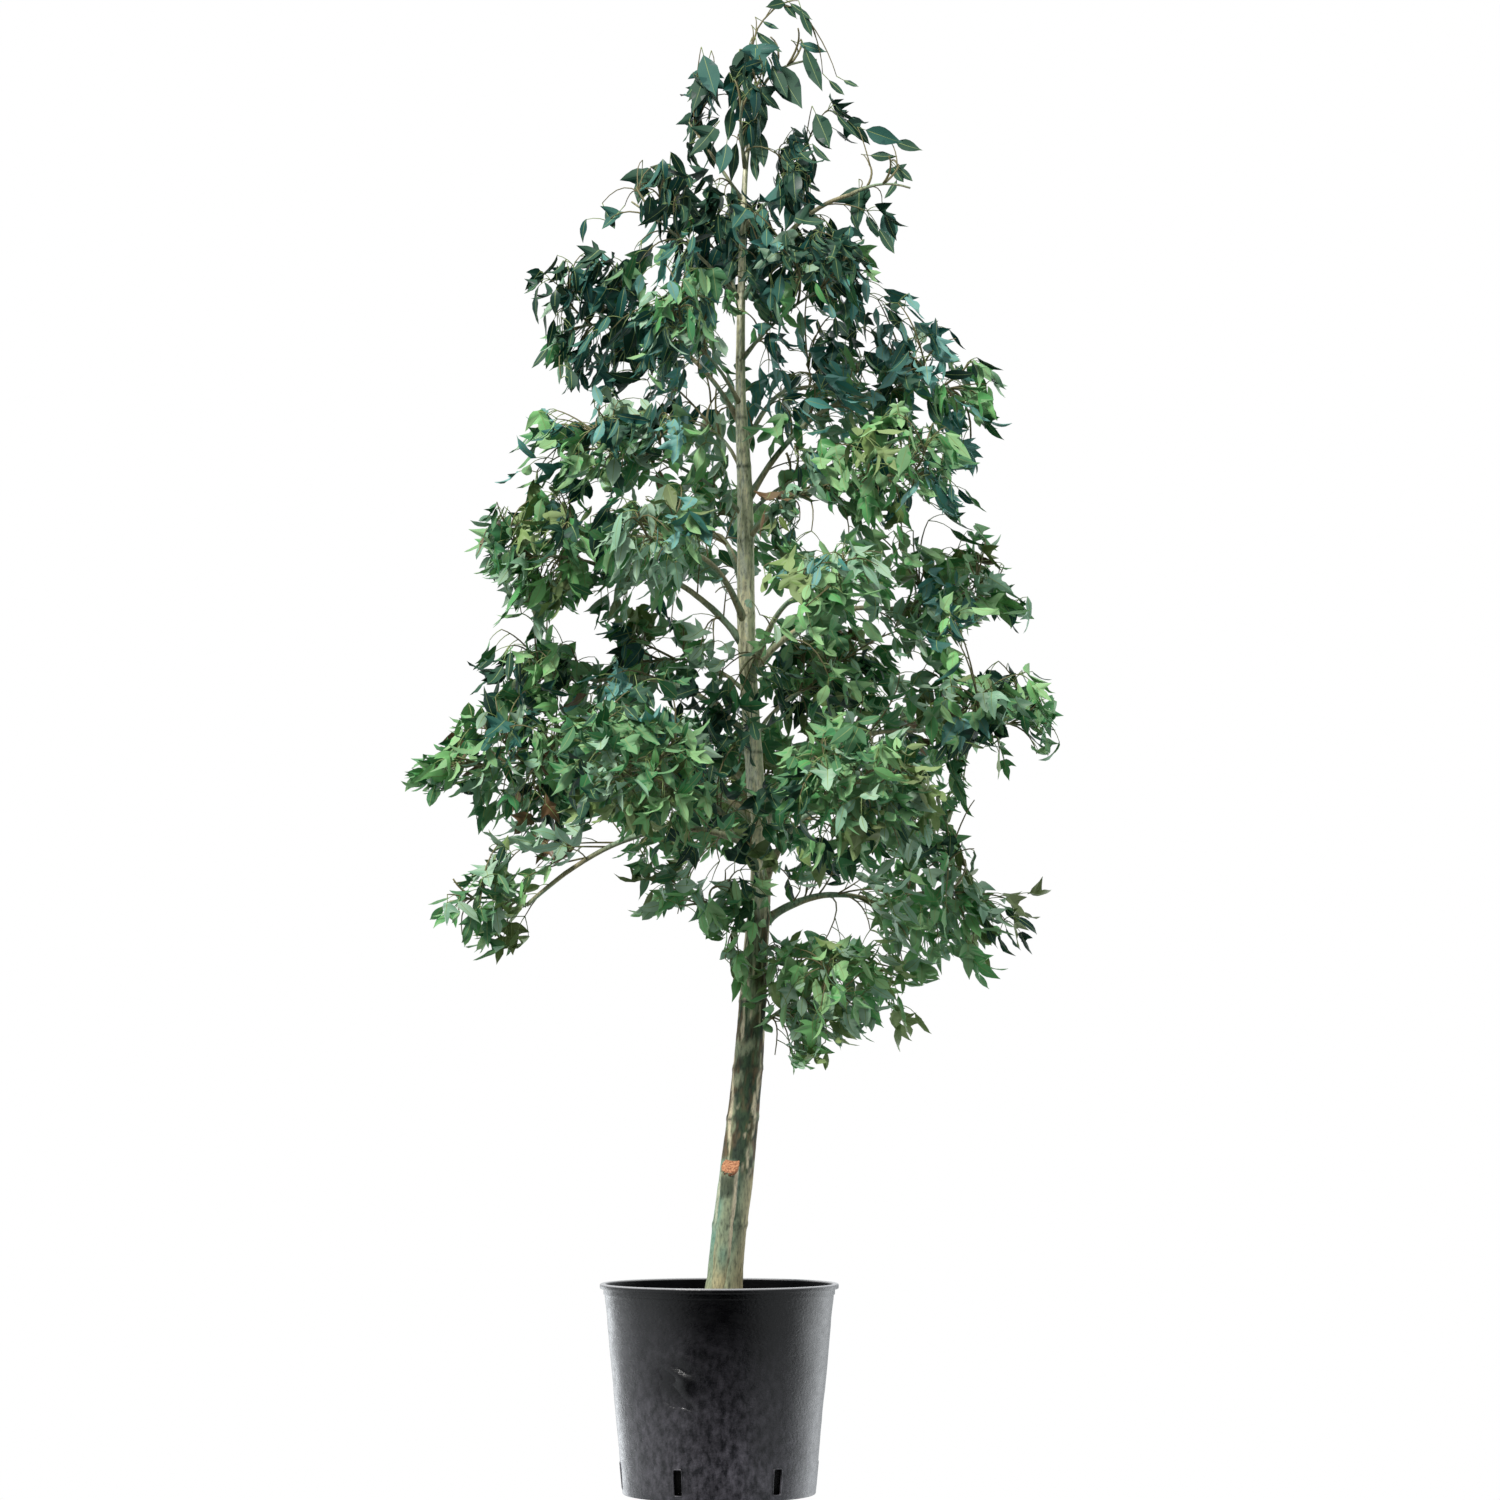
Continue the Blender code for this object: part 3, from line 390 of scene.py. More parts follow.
# Leaf colours: name, upper side, underside and how often a spray has it at each of five heights in the crown
COLOUR_HEIGHTS = (0.95, 1.20, 1.66, 2.02, 2.27)
LEAF_GROUPS = (
    ("deep", (0.028, 0.130, 0.045), (0.060, 0.165, 0.070), (0.00, 0.16, 0.06, 0.15, 0.05)),
    ("dark", (0.006, 0.036, 0.022), (0.022, 0.070, 0.040), (0.00, 0.11, 0.03, 0.12, 0.66)),
    ("mid", (0.085, 0.280, 0.090), (0.165, 0.320, 0.145), (0.22, 0.18, 0.20, 0.07, 0.00)),
    ("leafy", (0.050, 0.190, 0.070), (0.125, 0.265, 0.120), (0.00, 0.15, 0.07, 0.06, 0.00)),
    ("fresh", (0.165, 0.400, 0.140), (0.220, 0.395, 0.175), (0.34, 0.13, 0.23, 0.02, 0.00)),
    ("grey_green", (0.205, 0.370, 0.240), (0.260, 0.390, 0.270), (0.32, 0.09, 0.23, 0.11, 0.00)),
    ("teal", (0.009, 0.066, 0.054), (0.030, 0.110, 0.085), (0.00, 0.00, 0.02, 0.17, 0.28)),
    ("blue_green", (0.070, 0.240, 0.205), (0.120, 0.280, 0.245), (0.00, 0.00, 0.09, 0.30, 0.00)),
    ("yellow_green", (0.165, 0.255, 0.080), (0.205, 0.285, 0.118), (0.10, 0.07, 0.04, 0.00, 0.00)),
    ("olive", (0.105, 0.150, 0.042), (0.150, 0.195, 0.085), (0.02, 0.08, 0.02, 0.00, 0.01)),
    ("bronze", (0.110, 0.064, 0.030), (0.140, 0.100, 0.055), (0.00, 0.03, 0.01, 0.00, 0.00)),
)
# Leaves near the trunk in the thick of the crown get darker colours as painted shade: heights, distance and
# the groups they favour
SHADE_HEIGHTS = (1.080, 1.430)
SHADE_DISTANCE = 0.155
SHADE_GROUPS = {"deep": 3.0, "dark": 6.0}
SHADE_REST = 0.5

# Tones of the bark, some of them laid on as painted shade
TONES = {
    "green": (0.130, 0.250, 0.185),
    "olive": (0.340, 0.300, 0.170),
    "pale": (0.620, 0.540, 0.380),
    "dark": (0.028, 0.046, 0.030),
    "moss_and_shade": (0.085, 0.160, 0.070),
    "tan": (0.300, 0.270, 0.165),
    "brown": (0.140, 0.092, 0.050),
    "sage": (0.300, 0.340, 0.215),
    "cream": (0.760, 0.690, 0.500),
}


# Curves and spaces, by the same rule as the solids


def catmull_rom(rows, share):
    """The point at a share from 0 to 1 of a smooth curve through equally weighted rows of numbers."""
    last = len(rows) - 1
    place = min(max(share, 0.0), 1.0) * last
    index = min(int(place), last - 1)
    t = place - index
    before = rows[max(index - 1, 0)]
    start, end = rows[index], rows[index + 1]
    after = rows[min(index + 2, last)]
    weights = (
        -0.5 * t + t * t - 0.5 * t**3,
        1.0 - 2.5 * t * t + 1.5 * t**3,
        0.5 * t + 2.0 * t * t - 1.5 * t**3,
        -0.5 * t * t + 0.5 * t**3,
    )
    return [sum(w * c for w, c in zip(weights, four)) for four in zip(before, start, end, after)]


def curve(start, middle, end, count):
    """Points of a curve from start to end that is drawn towards middle."""
    shares = (i / (count - 1) for i in range(count))
    return [start * (1 - t) ** 2 + middle * 2 * t * (1 - t) + end * t * t for t in shares]


def on_line(points, share):
    """The point at a share from 0 to 1 of a line of straight pieces."""
    place = min(max(share, 0.0), 1.0) * (len(points) - 1)
    index = min(int(place), len(points) - 2)
    return points[index].lerp(points[index + 1], place - index)


def direction_at(line, share, back, on):
    """The way a line runs at a share of it, measured from a little back to a little further on."""
    return (on_line(line, share + on) - on_line(line, share - back)).normalized()


def length_of(line):
    """The length of a line of straight pieces."""
    return sum((b - a).length for a, b in zip(line, line[1:]))


def nearest_line(lines, spot, shares):
    """The line that passes nearest to a spot, measured at some shares of each."""
    return min(lines, key=lambda line: min((on_line(line, t) - spot).length for t in shares))


def spoke(along, angle):
    """A direction square to another, turned round it by an angle."""
    side = along.orthogonal().normalized()
    return side * math.cos(angle) + along.cross(side) * math.sin(angle)


def trunk_at(height):
    """The trunk's centre and radius at a height."""
    heights = [row[0] for row in TRUNK_ROWS]
    index = max(i for i in range(len(heights) - 1) if i == 0 or heights[i] <= height)
    span = heights[index + 1] - heights[index]
    share = (index + min(max((height - heights[index]) / span, 0.0), 1.0)) / (len(heights) - 1)
    _, sideways, depth, radius = catmull_rom(TRUNK_ROWS, share)
    return Vector((sideways, depth, height)), radius


def from_trunk(point):
    """How far a point lies from the trunk's centre, sideways and in depth, and the trunk's radius there."""
    axis, radius = trunk_at(point.z)
    return point.x - axis.x, point.y - axis.y, radius


Space = namedtuple("Space", "centre outward sideways half")


def space_of(mass):
    """The mass's ellipsoid, turned so that its first axis points away from the trunk."""
    centre = Vector(mass.centre)
    axis, _ = trunk_at(mass.centre[2])
    outward = Vector((centre.x - axis.x, centre.y - axis.y, 0.0)).normalized()
    return Space(centre, outward, UP.cross(outward), Vector(mass.half))


def level(space, point):
    """0 at the space's centre and 1 on its surface."""
    offset = point - space.centre
    local = (offset.dot(space.outward), offset.dot(space.sideways), offset.z)
    return math.sqrt(sum((c / h) ** 2 for c, h in zip(local, space.half)))


def spot_in(space, outward, sideways, upright):
    """The point at these shares of the space's half sizes."""
    return (
        space.centre
        + space.outward * outward * space.half.x
        + space.sideways * sideways * space.half.y
        + UP * upright * space.half.z
    )


def bough_points(space, start):
    """A bough from its start in the trunk, in a bend, to its end inside the near side of the mass."""
    end = spot_in(space, -0.80, 0.0, -0.15)
    run = Vector((end.x - start.x, end.y - start.y, 0.0))
    middle = start + run * 0.45 + UP * (max(end.z - start.z, 0.0) * 0.62 + 0.25 * run.length)
    return curve(start, middle, end, BOUGH_POINTS)


def stem_points(space, start, heading):
    """A mass's stem: it goes on from its bough, through the middle of the space, and droops at its end."""
    end = spot_in(space, STEM_REACH, 0.0, -0.10)
    middle = start + heading * (end - start).length * 0.5
    middle.z = max(middle.z, start.z * 0.5 + end.z * 0.5 + 0.2 * space.half.z)
    return curve(start, middle, end, STEM_POINTS)


def twig_points(parent, spot, count):
    """A twig that leaves its parent ahead of its nearest place and arches over to its spot."""
    nearest = min((i / 20 for i in range(1, 21)), key=lambda t: (on_line(parent, t) - spot).length)
    leaves_at = max(0.15, nearest * 0.78)
    start = on_line(parent, leaves_at)
    ahead = direction_at(parent, leaves_at, 0.05, 0.1)
    reach = (spot - start).length
    middle = start + ahead * reach * 0.30 + (spot - start) * 0.35 + UP * reach * 0.15
    return curve(start, middle, spot, count)


def spread(count, spin):
    """Directions spread evenly over a ball by the golden angle."""
    for i in range(count):
        rise = 1.0 - 2.0 * (i + 0.5) / count
        ring = math.sqrt(1.0 - rise * rise)
        angle = spin + i * GOLDEN_ANGLE
        yield Vector((ring * math.cos(angle), ring * math.sin(angle), rise))


# Meshes from arrays


def lattice_noise(seed, u, v, shape):
    """Smooth noise from -1 to 1 at places on a lattice of random numbers, which closes on itself along u."""
    lattice = np.random.default_rng(seed).uniform(-1.0, 1.0, shape)
    i, j = np.floor(u).astype(int), np.floor(v).astype(int)
    s, t = u - i, v - j
    s, t = s * s * (3 - 2 * s), t * t * (3 - 2 * t)
    near, far = i % shape[0], (i + 1) % shape[0]
    low = lattice[near, j] * (1 - s) + lattice[far, j] * s
    high = lattice[near, j + 1] * (1 - s) + lattice[far, j + 1] * s
    return low * (1 - t) + high * t


def wrapped_noise(seed, turn, height, cells_round, cell_height):
    """Smooth noise that closes on itself round a stem. turn runs from 0 to 1 round it."""
    rows = int(np.max(height) / cell_height) + 3
    return lattice_noise(seed, (turn % 1.0) * cells_round, height / cell_height, (cells_round, rows))


def level_noise(seed, x, y, cell):
    """Smooth noise over the level surface of the potting mix, up to 80 cells from its centre."""
    return lattice_noise(seed, x / cell + 80.0, y / cell + 80.0, (160, 160))


class Batch:
    """Gathers many small shapes of three- and four-sided faces into one mesh."""

    def __init__(self):
        self.points, self.faces, self.kinds, self.rims = [], [], [], []
        self.count = 0

    def add(self, points, faces, kinds=None, rim=None):
        """points is (n, 3), faces is (m, 4) with -1 in a triangle, and kinds gives each face's material."""
        self.points.append(np.asarray(points, float))
        self.faces.append(np.where(faces >= 0, faces + self.count, -1))
        self.kinds.append(np.zeros(len(faces), int) if kinds is None else kinds)
        self.rims.append(np.zeros(len(points), bool) if rim is None else rim)
        self.count += len(points)
        return self

    def build(self, name, materials):
        """The joined mesh as an object, with smooth faces and sharp rims."""
        points, faces, kinds, rims = map(np.concatenate, (self.points, self.faces, self.kinds, self.rims))
        sizes = (faces >= 0).sum(1)
        mesh = bpy.data.meshes.new(name)
        mesh.vertices.add(len(points))
        mesh.vertices.foreach_set("co", points.astype(np.float32).ravel())
        mesh.loops.add(int(sizes.sum()))
        mesh.loops.foreach_set("vertex_index", faces[faces >= 0].astype(np.int32))
        mesh.polygons.add(len(faces))
        mesh.polygons.foreach_set("loop_start", np.r_[0, np.cumsum(sizes)[:-1]].astype(np.int32))
        mesh.polygons.foreach_set("material_index", kinds.astype(np.int32))
        mesh.update(calc_edges=True)
        mesh.shade_smooth()
        if rims.any():
            ends = np.empty(len(mesh.edges) * 2, np.int32)
            mesh.edges.foreach_get("vertices", ends)
            sharp = mesh.attributes.new("sharp_edge", "BOOLEAN", "EDGE")
            sharp.data.foreach_set("value", rims[ends.reshape(-1, 2)].all(1))
        for material in materials:
            mesh.materials.append(material)
        made = bpy.data.objects.new(name, mesh)
        bpy.context.scene.collection.objects.link(made)
        return made


def ring_faces(rings, sides, closed=False):
    """Faces between each ring of points and the next, and from the last to the first where it is closed."""
    k = np.arange(sides)
    after = (k + 1) % sides
    row = np.arange(rings if closed else rings - 1)[:, None]
    here, above = row * sides, (row + 1) % rings * sides
    return np.stack([here + k, here + after, above + after, above + k], -1).reshape(-1, 4)


def closed_faces(rings, sides, turned_over=False):
    """Faces of rings of points with a point at each end, which come after all the rings' own points."""
    k = np.arange(sides)
    after = (k + 1) % sides
    top, first = (rings - 1) * sides, np.full(sides, rings * sides)
    none = np.full(sides, -1)
    ends = np.stack([after, k, first, none, top + k, top + after, first + 1, none], -1).reshape(-1, 4)
    faces = np.concatenate([ring_faces(rings, sides), ends])
    return faces[:, [0, 3, 2, 1]] if turned_over else faces


def ring_round(centre, along, side, radius, sides):
    """A ring of points round a centre, square to a direction, and the side its first spoke points to."""
    side = (side - along * side.dot(along)).normalized()
    turns = np.arange(sides) * math.tau / sides
    spokes = np.outer(np.cos(turns), side) + np.outer(np.sin(turns), along.cross(side))
    return np.array(centre) + spokes * radius, side


def tube_arrays(points, radii, sides):
    """Points and faces of a closed tube along a line, with a radius at each of its points."""
    last = len(points) - 1
    side = (points[1] - points[0]).orthogonal().normalized()
    rings = []
    for i, (point, radius) in enumerate(zip(points, radii)):
        along = (points[min(i + 1, last)] - points[max(i - 1, 0)]).normalized()
        ring, side = ring_round(point, along, side, radius, sides)
        rings.append(ring)
    return np.concatenate([*rings, [points[0], points[-1]]]), closed_faces(len(points), sides)


def closed_ring(points, radius, sides):
    """Points and faces of a tube along a closed line on the pot's wall."""
    count = len(points)
    rings = []
    for i, point in enumerate(points):
        along = (points[(i + 1) % count] - points[i - 1]).normalized()
        outward = Vector((point.x, point.y, 0.0)).normalized()
        rings.append(ring_round(point, along, outward, radius, sides)[0])
    return np.concatenate(rings), ring_faces(count, sides, closed=True)


def level_rings(radius, height, turn, x=0.0, y=0.0):
    """Points of level rings round a centre, ring by ring."""
    angle = turn * math.tau
    return np.stack([x + radius * np.cos(angle), y + radius * np.sin(angle), height], -1).reshape(-1, 3)


def turned_batch(profile, sides, shift):
    """A solid turned about Z from a profile that starts and ends on the axis, with its points shifted."""
    rings = np.array(profile[1:-1])
    radius, height = (rings[:, i, None] * np.ones(sides) for i in (0, 1))
    turn = np.ones(len(rings))[:, None] * np.arange(sides) / sides
    radius, height = shift(radius, height, turn)
    ends = [(0.0, 0.0, profile[0].y), (0.0, 0.0, profile[-1].y)]
    points = np.concatenate([level_rings(radius, height, turn), ends])
    return Batch().add(points, closed_faces(len(rings), sides, turned_over=True))


# Materials


def fill(tree, socket, value):
    """Links an output to an input, or sets the input to a plain number, vector or colour."""
    if isinstance(value, bpy.types.NodeSocket):
        tree.links.new(value, socket)
    else:
        socket.default_value = (*value, 1.0) if socket.type == "RGBA" else value


def add_node(tree, kind, *first, **values):
    """A node with the named properties or inputs, and its first inputs filled in turn."""
    made = tree.nodes.new(f"ShaderNode{kind}")
    for key, value in values.items():
        if hasattr(made, key):
            setattr(made, key, value)
        else:
            fill(tree, made.inputs[key.replace("_", " ")], value)
    for socket, value in zip(made.inputs, first):
        fill(tree, socket, value)
    return made


def worked_out(tree, operation, *values, kind="Math"):
    """The number that an operation gives."""
    return add_node(tree, kind, *values, operation=operation).outputs["Value"]


def map_range(tree, source, from_min, from_max, to_min=0.0, to_max=1.0, interpolation="LINEAR"):
    """A number carried over from one range to another, and kept to it."""
    made = add_node(
        tree, "MapRange", source, from_min, from_max, to_min, to_max, interpolation_type=interpolation
    )
    return made.outputs["Result"]


def object_noise(tree, scale, stretch=(1.0, 1.0, 1.0), detail=4.0, roughness=0.55):
    """Noise in the object's own coordinates, in cells per metre."""
    place = add_node(tree, "TexCoord").outputs["Object"]
    mapping = add_node(tree, "Mapping", place, Scale=stretch)
    noise = add_node(tree, "TexNoise", mapping.outputs[0], Scale=scale, Detail=detail, Roughness=roughness)
    return noise.outputs["Fac"]


def ramp(tree, source, *stops):
    """A colour ramp from (place, colour) stops."""
    made = add_node(tree, "ValToRGB", source)
    elements = made.color_ramp.elements
    while len(elements) < len(stops):
        elements.new(0.5)
    for element, (place, colour) in zip(elements, stops):
        element.position = place
        element.color = (*colour, 1.0)
    return made.outputs["Color"]


def mixed(tree, share, first, second, blending="MIX"):
    """A mix of two colours by a share."""
    made = add_node(tree, "Mix", share, data_type="RGBA", blend_type=blending)
    fill(tree, made.inputs[6], first)
    fill(tree, made.inputs[7], second)
    return made.outputs[2]


def bump(tree, shader, height, strength, distance):
    """Fine relief on a shader's normal."""
    made = add_node(tree, "Bump", Strength=strength, Distance=distance, Height=height)
    tree.links.new(made.outputs["Normal"], shader.inputs["Normal"])


def principled(name, colour, roughness, **inputs):
    """A material with plain values on its shader's own inputs. Returns it with its nodes and shader."""
    made = bpy.data.materials.new(name)
    made.use_nodes = True
    tree = made.node_tree
    shader = tree.nodes["Principled BSDF"]
    for key, value in {"Base Color": colour, "Roughness": roughness, **inputs}.items():
        fill(tree, shader.inputs[key.replace("_", " ")], value)
    return made, tree, shader


def bark_material():
    """Bark whose broad tones lie on the mesh, with fine mottling and fissures from nodes."""
    made, tree, shader = principled("bark", (0.29, 0.27, 0.18), 0.78, Specular_IOR_Level=0.3)
    tone = add_node(tree, "Attribute", attribute_name="tone").outputs["Color"]
    mottling = object_noise(tree, 260.0, (1.0, 1.0, 0.30), 5.0, 0.62)
    stops = (0.32, (0.42, 0.42, 0.40)), (0.50, (0.98, 0.98, 0.96)), (0.72, (1.30, 1.26, 1.14))
    colour = mixed(tree, 1.0, tone, ramp(tree, mottling, *stops), "MULTIPLY")
    fill(tree, shader.inputs["Base Color"], colour)
    bump(tree, shader, object_noise(tree, 330.0, (1.0, 1.0, 0.25), 6.0, 0.65), 0.45, 0.0012)
    return made


def leaf_material(name, colour, roughness, coat):
    """A leaf's plain colour with the faint relief of its veins."""
    made, tree, shader = principled(
        name, colour, roughness, Specular_IOR_Level=0.20, Coat_Weight=coat, Coat_Roughness=0.22
    )
    bump(tree, shader, object_noise(tree, 230.0, detail=3.0, roughness=0.5), 0.30, 0.0008)
    return made


def twig_material(name, colour):
    """A twig's plain colour with a fine grain."""
    made, tree, shader = principled(name, colour, 0.62, Specular_IOR_Level=0.35)
    bump(tree, shader, object_noise(tree, 500.0, (1.0, 1.0, 0.5), 3.0, 0.5), 0.4, 0.0005)
    return made


def pot_material():
    """Black moulded plastic: paler and speckled low down, partly dirt and partly a painted reflection of the
    ground; painted shade at the dent and on the inner wall; a painted highlight on the lip.
    """
    shine = 0.34
    made, tree, shader = principled("pot_plastic", (0.02, 0.02, 0.022), 0.30, Specular_IOR_Level=shine)
    place = add_node(tree, "TexCoord").outputs["Object"]
    x, y, z = add_node(tree, "SeparateXYZ", place).outputs

    # Paler and speckled low down and towards the left: dirt, and a painted reflection of the pale ground.
    dust_and_reflection_height = worked_out(tree, "MULTIPLY_ADD", x, 0.22, z)
    low = map_range(tree, dust_and_reflection_height, 0.31, 0.05, 0.0, 1.35)
    cloud = object_noise(tree, 16.0, (1.0, 1.0, 0.7), 6.0, 0.62)
    # Round the dent the paler coat is left off, so the bare black shows as painted shade in its creases.
    turn = math.radians(DENT_TURN_DEG)
    reach = BASE_RADIUS + 0.015
    dent = (reach * math.cos(turn), reach * math.sin(turn), DENT_HEIGHT)
    from_dent = worked_out(tree, "DISTANCE", place, dent, kind="VectorMath")
    clear = map_range(tree, from_dent, 0.014, 0.056, 0.05, 1.0, "SMOOTHSTEP")
    dust_and_reflection = worked_out(tree, "MULTIPLY", worked_out(tree, "MULTIPLY", low, cloud), clear)
    clean = ramp(tree, cloud, (0.30, (0.0010, 0.0010, 0.0013)), (0.70, (0.0032, 0.0032, 0.0038)))
    specks = object_noise(tree, 90.0, (1.0, 1.0, 0.6), 6.0, 0.7)
    dust_and_reflection_colour = ramp(tree, specks, (0.38, (0.014, 0.014, 0.017)), (0.66, (0.092, 0.087, 0.102)))
    # A pale band along the top of the lip: a painted highlight.
    lip_highlight = map_range(tree, z, POT_HEIGHT - 0.0030, POT_HEIGHT - 0.0008)
    colour = mixed(tree, lip_highlight, mixed(tree, dust_and_reflection, clean, dust_and_reflection_colour), (0.30, 0.30, 0.31))
    fill(tree, shader.inputs["Base Color"], colour)

    scuffs = object_noise(tree, 40.0, (1.0, 1.0, 2.5), 5.0, 0.6)
    fill(tree, shader.inputs["Roughness"], map_range(tree, scuffs, 0.3, 0.75, 0.20, 0.38))
    bump(tree, shader, object_noise(tree, 150.0, (1.0, 1.0, 1.6), 6.0, 0.6), 0.55, 0.0014)

    # The inner wall above the soil has its reflection turned down: painted shade.
    flat = add_node(tree, "CombineXYZ", x, y).outputs[0]
    radius = worked_out(tree, "LENGTH", flat, kind="VectorMath")
    upright = worked_out(tree, "MULTIPLY_ADD", z, -(COLLAR_RADIUS - BASE_RADIUS) / WALL_TOP, radius)
    inside = map_range(tree, upright, BASE_RADIUS - 0.0016, BASE_RADIUS - 0.0030)
    above = map_range(tree, z, SOIL_TOP - 0.012, SOIL_TOP - 0.004)
    mouth_shade = worked_out(tree, "MULTIPLY", inside, above)
    fill(tree, shader.inputs["Specular IOR Level"], map_range(tree, mouth_shade, 0.0, 1.0, shine, 0.04))
    return made


def soil_material(name, dark, pale):
    """Potting mix or bark chips, from dark to pale brown, and near black deep in the pot as painted shade.
    """
    made, tree, shader = principled(name, dark, 0.9, Specular_IOR_Level=0.2)
    grain = ramp(tree, object_noise(tree, 130.0, detail=6.0, roughness=0.7), (0.35, dark), (0.72, pale))
    place = add_node(tree, "TexCoord").outputs["Object"]
    height = add_node(tree, "SeparateXYZ", place).outputs["Z"]
    # Near black deep in the pot: painted shade.
    deep_shade = map_range(tree, height, SOIL_TOP - 0.03, SOIL_TOP - 0.08)
    fill(tree, shader.inputs["Base Color"], mixed(tree, deep_shade, grain, (0.0016, 0.0013, 0.0011)))
    bump(tree, shader, object_noise(tree, 240.0, detail=6.0, roughness=0.7), 0.8, 0.003)
    return made


def cut_wood_material():
    """The weathered end of a pruned stub: salmon-brown wood, mottled dark and pale."""
    made, tree, shader = principled("cut_wood", (0.42, 0.22, 0.12), 0.85, Specular_IOR_Level=0.2)
    mottling = object_noise(tree, 420.0, detail=5.0, roughness=0.6)
    stops = (0.34, (0.095, 0.035, 0.018)), (0.50, (0.37, 0.165, 0.085)), (0.72, (0.58, 0.31, 0.17))
    fill(tree, shader.inputs["Base Color"], ramp(tree, mottling, *stops))
    bump(tree, shader, object_noise(tree, 500.0), 0.5, 0.0008)
    return made


def finished(piece, slot, *nodes):
    """Rides the piece on the body and hides the solids it stands for."""
    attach(piece, BODY)
    if nodes:
        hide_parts(*nodes)


# Pot and soil


def wall_radius(height):
    """The outside radius of the pot's wall at a height."""
    return BASE_RADIUS + (COLLAR_RADIUS - BASE_RADIUS) * height / WALL_TOP


def turn_off(turn_deg, centre_deg):
    """How far round the axis a direction is from another, from -180 to 180 degrees."""
    return (turn_deg - centre_deg + 180.0) % 360.0 - 180.0


def pot_profile():
    """The pot's section from the middle of its inner floor, over the lip and down to the underside."""
    lip_low = POT_HEIGHT - LIP_DEPTH
    corners = [
        (0.0, WALL, 0.0),
        (wall_radius(WALL) - WALL, WALL, 0.003),
        (wall_radius(POT_HEIGHT) - WALL, POT_HEIGHT, 0.0030),
        (LIP_RADIUS, POT_HEIGHT, 0.0035),
        (LIP_RADIUS, lip_low, 0.0022),
        (COLLAR_RADIUS + COLLAR_STEP, lip_low, 0.0012),
        (COLLAR_RADIUS + COLLAR_STEP, WALL_TOP, 0.0010),
        (COLLAR_RADIUS, WALL_TOP, 0.0008),
        (BASE_RADIUS, 0.0, 0.0025),
        (0.0, 0.0, 0.0),
    ]
    spots = [Vector(corner[:2]) for corner in corners]
    points = spots[:1]
    for before, here, after, (_, _, rounding) in zip(spots, spots[1:], spots[2:], corners[1:]):
        start = here + (before - here).normalized() * rounding
        points += curve(start, here, here + (after - here).normalized() * rounding, 5)
    return points + spots[-1:]


def dense(profile, longest):
    """Splits the profile's long stretches."""
    points = [profile[0]]
    for start, end in zip(profile, profile[1:]):
        pieces = max(1, math.ceil((end - start).length / longest))
        points += [start.lerp(end, (k + 1) / pieces) for k in range(pieces)]
    return points


def dented(radius, height, turn):
    """Presses a creased dent and shallow waves into the pot's outer wall. Lip, foot and inside stay true."""
    wall = np.abs(radius - wall_radius(height)) < 0.0006
    fade = np.clip((height - 0.02) / 0.05, 0, 1) * np.clip((0.335 - height) / 0.03, 0, 1) * wall
    waves = wrapped_noise(11, turn, height, 14, 0.07) * 0.0009
    waves = waves + wrapped_noise(12, turn, height, 46, 0.018) * 0.00022
    off = turn_off(turn * 360.0, DENT_TURN_DEG)
    near = np.exp(-((off / DENT_HALF_DEG) ** 2) - ((height - DENT_HEIGHT) / DENT_HALF_HEIGHT) ** 2)
    creases = wrapped_noise(13, turn, height + CREASE_LEAN * off, 30, 0.0115)
    return radius - fade * (WALL_FLAT + waves + near * (DENT_DEPTH + CREASE_DEPTH * creases)), height


def slot_outline():
    """A drain slot's outline with its rounded corners, sideways and up from its middle."""
    half_wide, half_high = SLOT_WIDTH / 2 - SLOT_CORNER, (SLOT_HIGH - SLOT_LOW) / 2 - SLOT_CORNER
    outline = []
    for quarter, (sign_x, sign_z) in enumerate(((1, 1), (-1, 1), (-1, -1), (1, -1))):
        for k in range(6):
            angle = math.radians(quarter * 90 + k * 18)
            x = sign_x * half_wide + SLOT_CORNER * math.cos(angle)
            outline.append((x, sign_z * half_high + SLOT_CORNER * math.sin(angle)))
    return outline


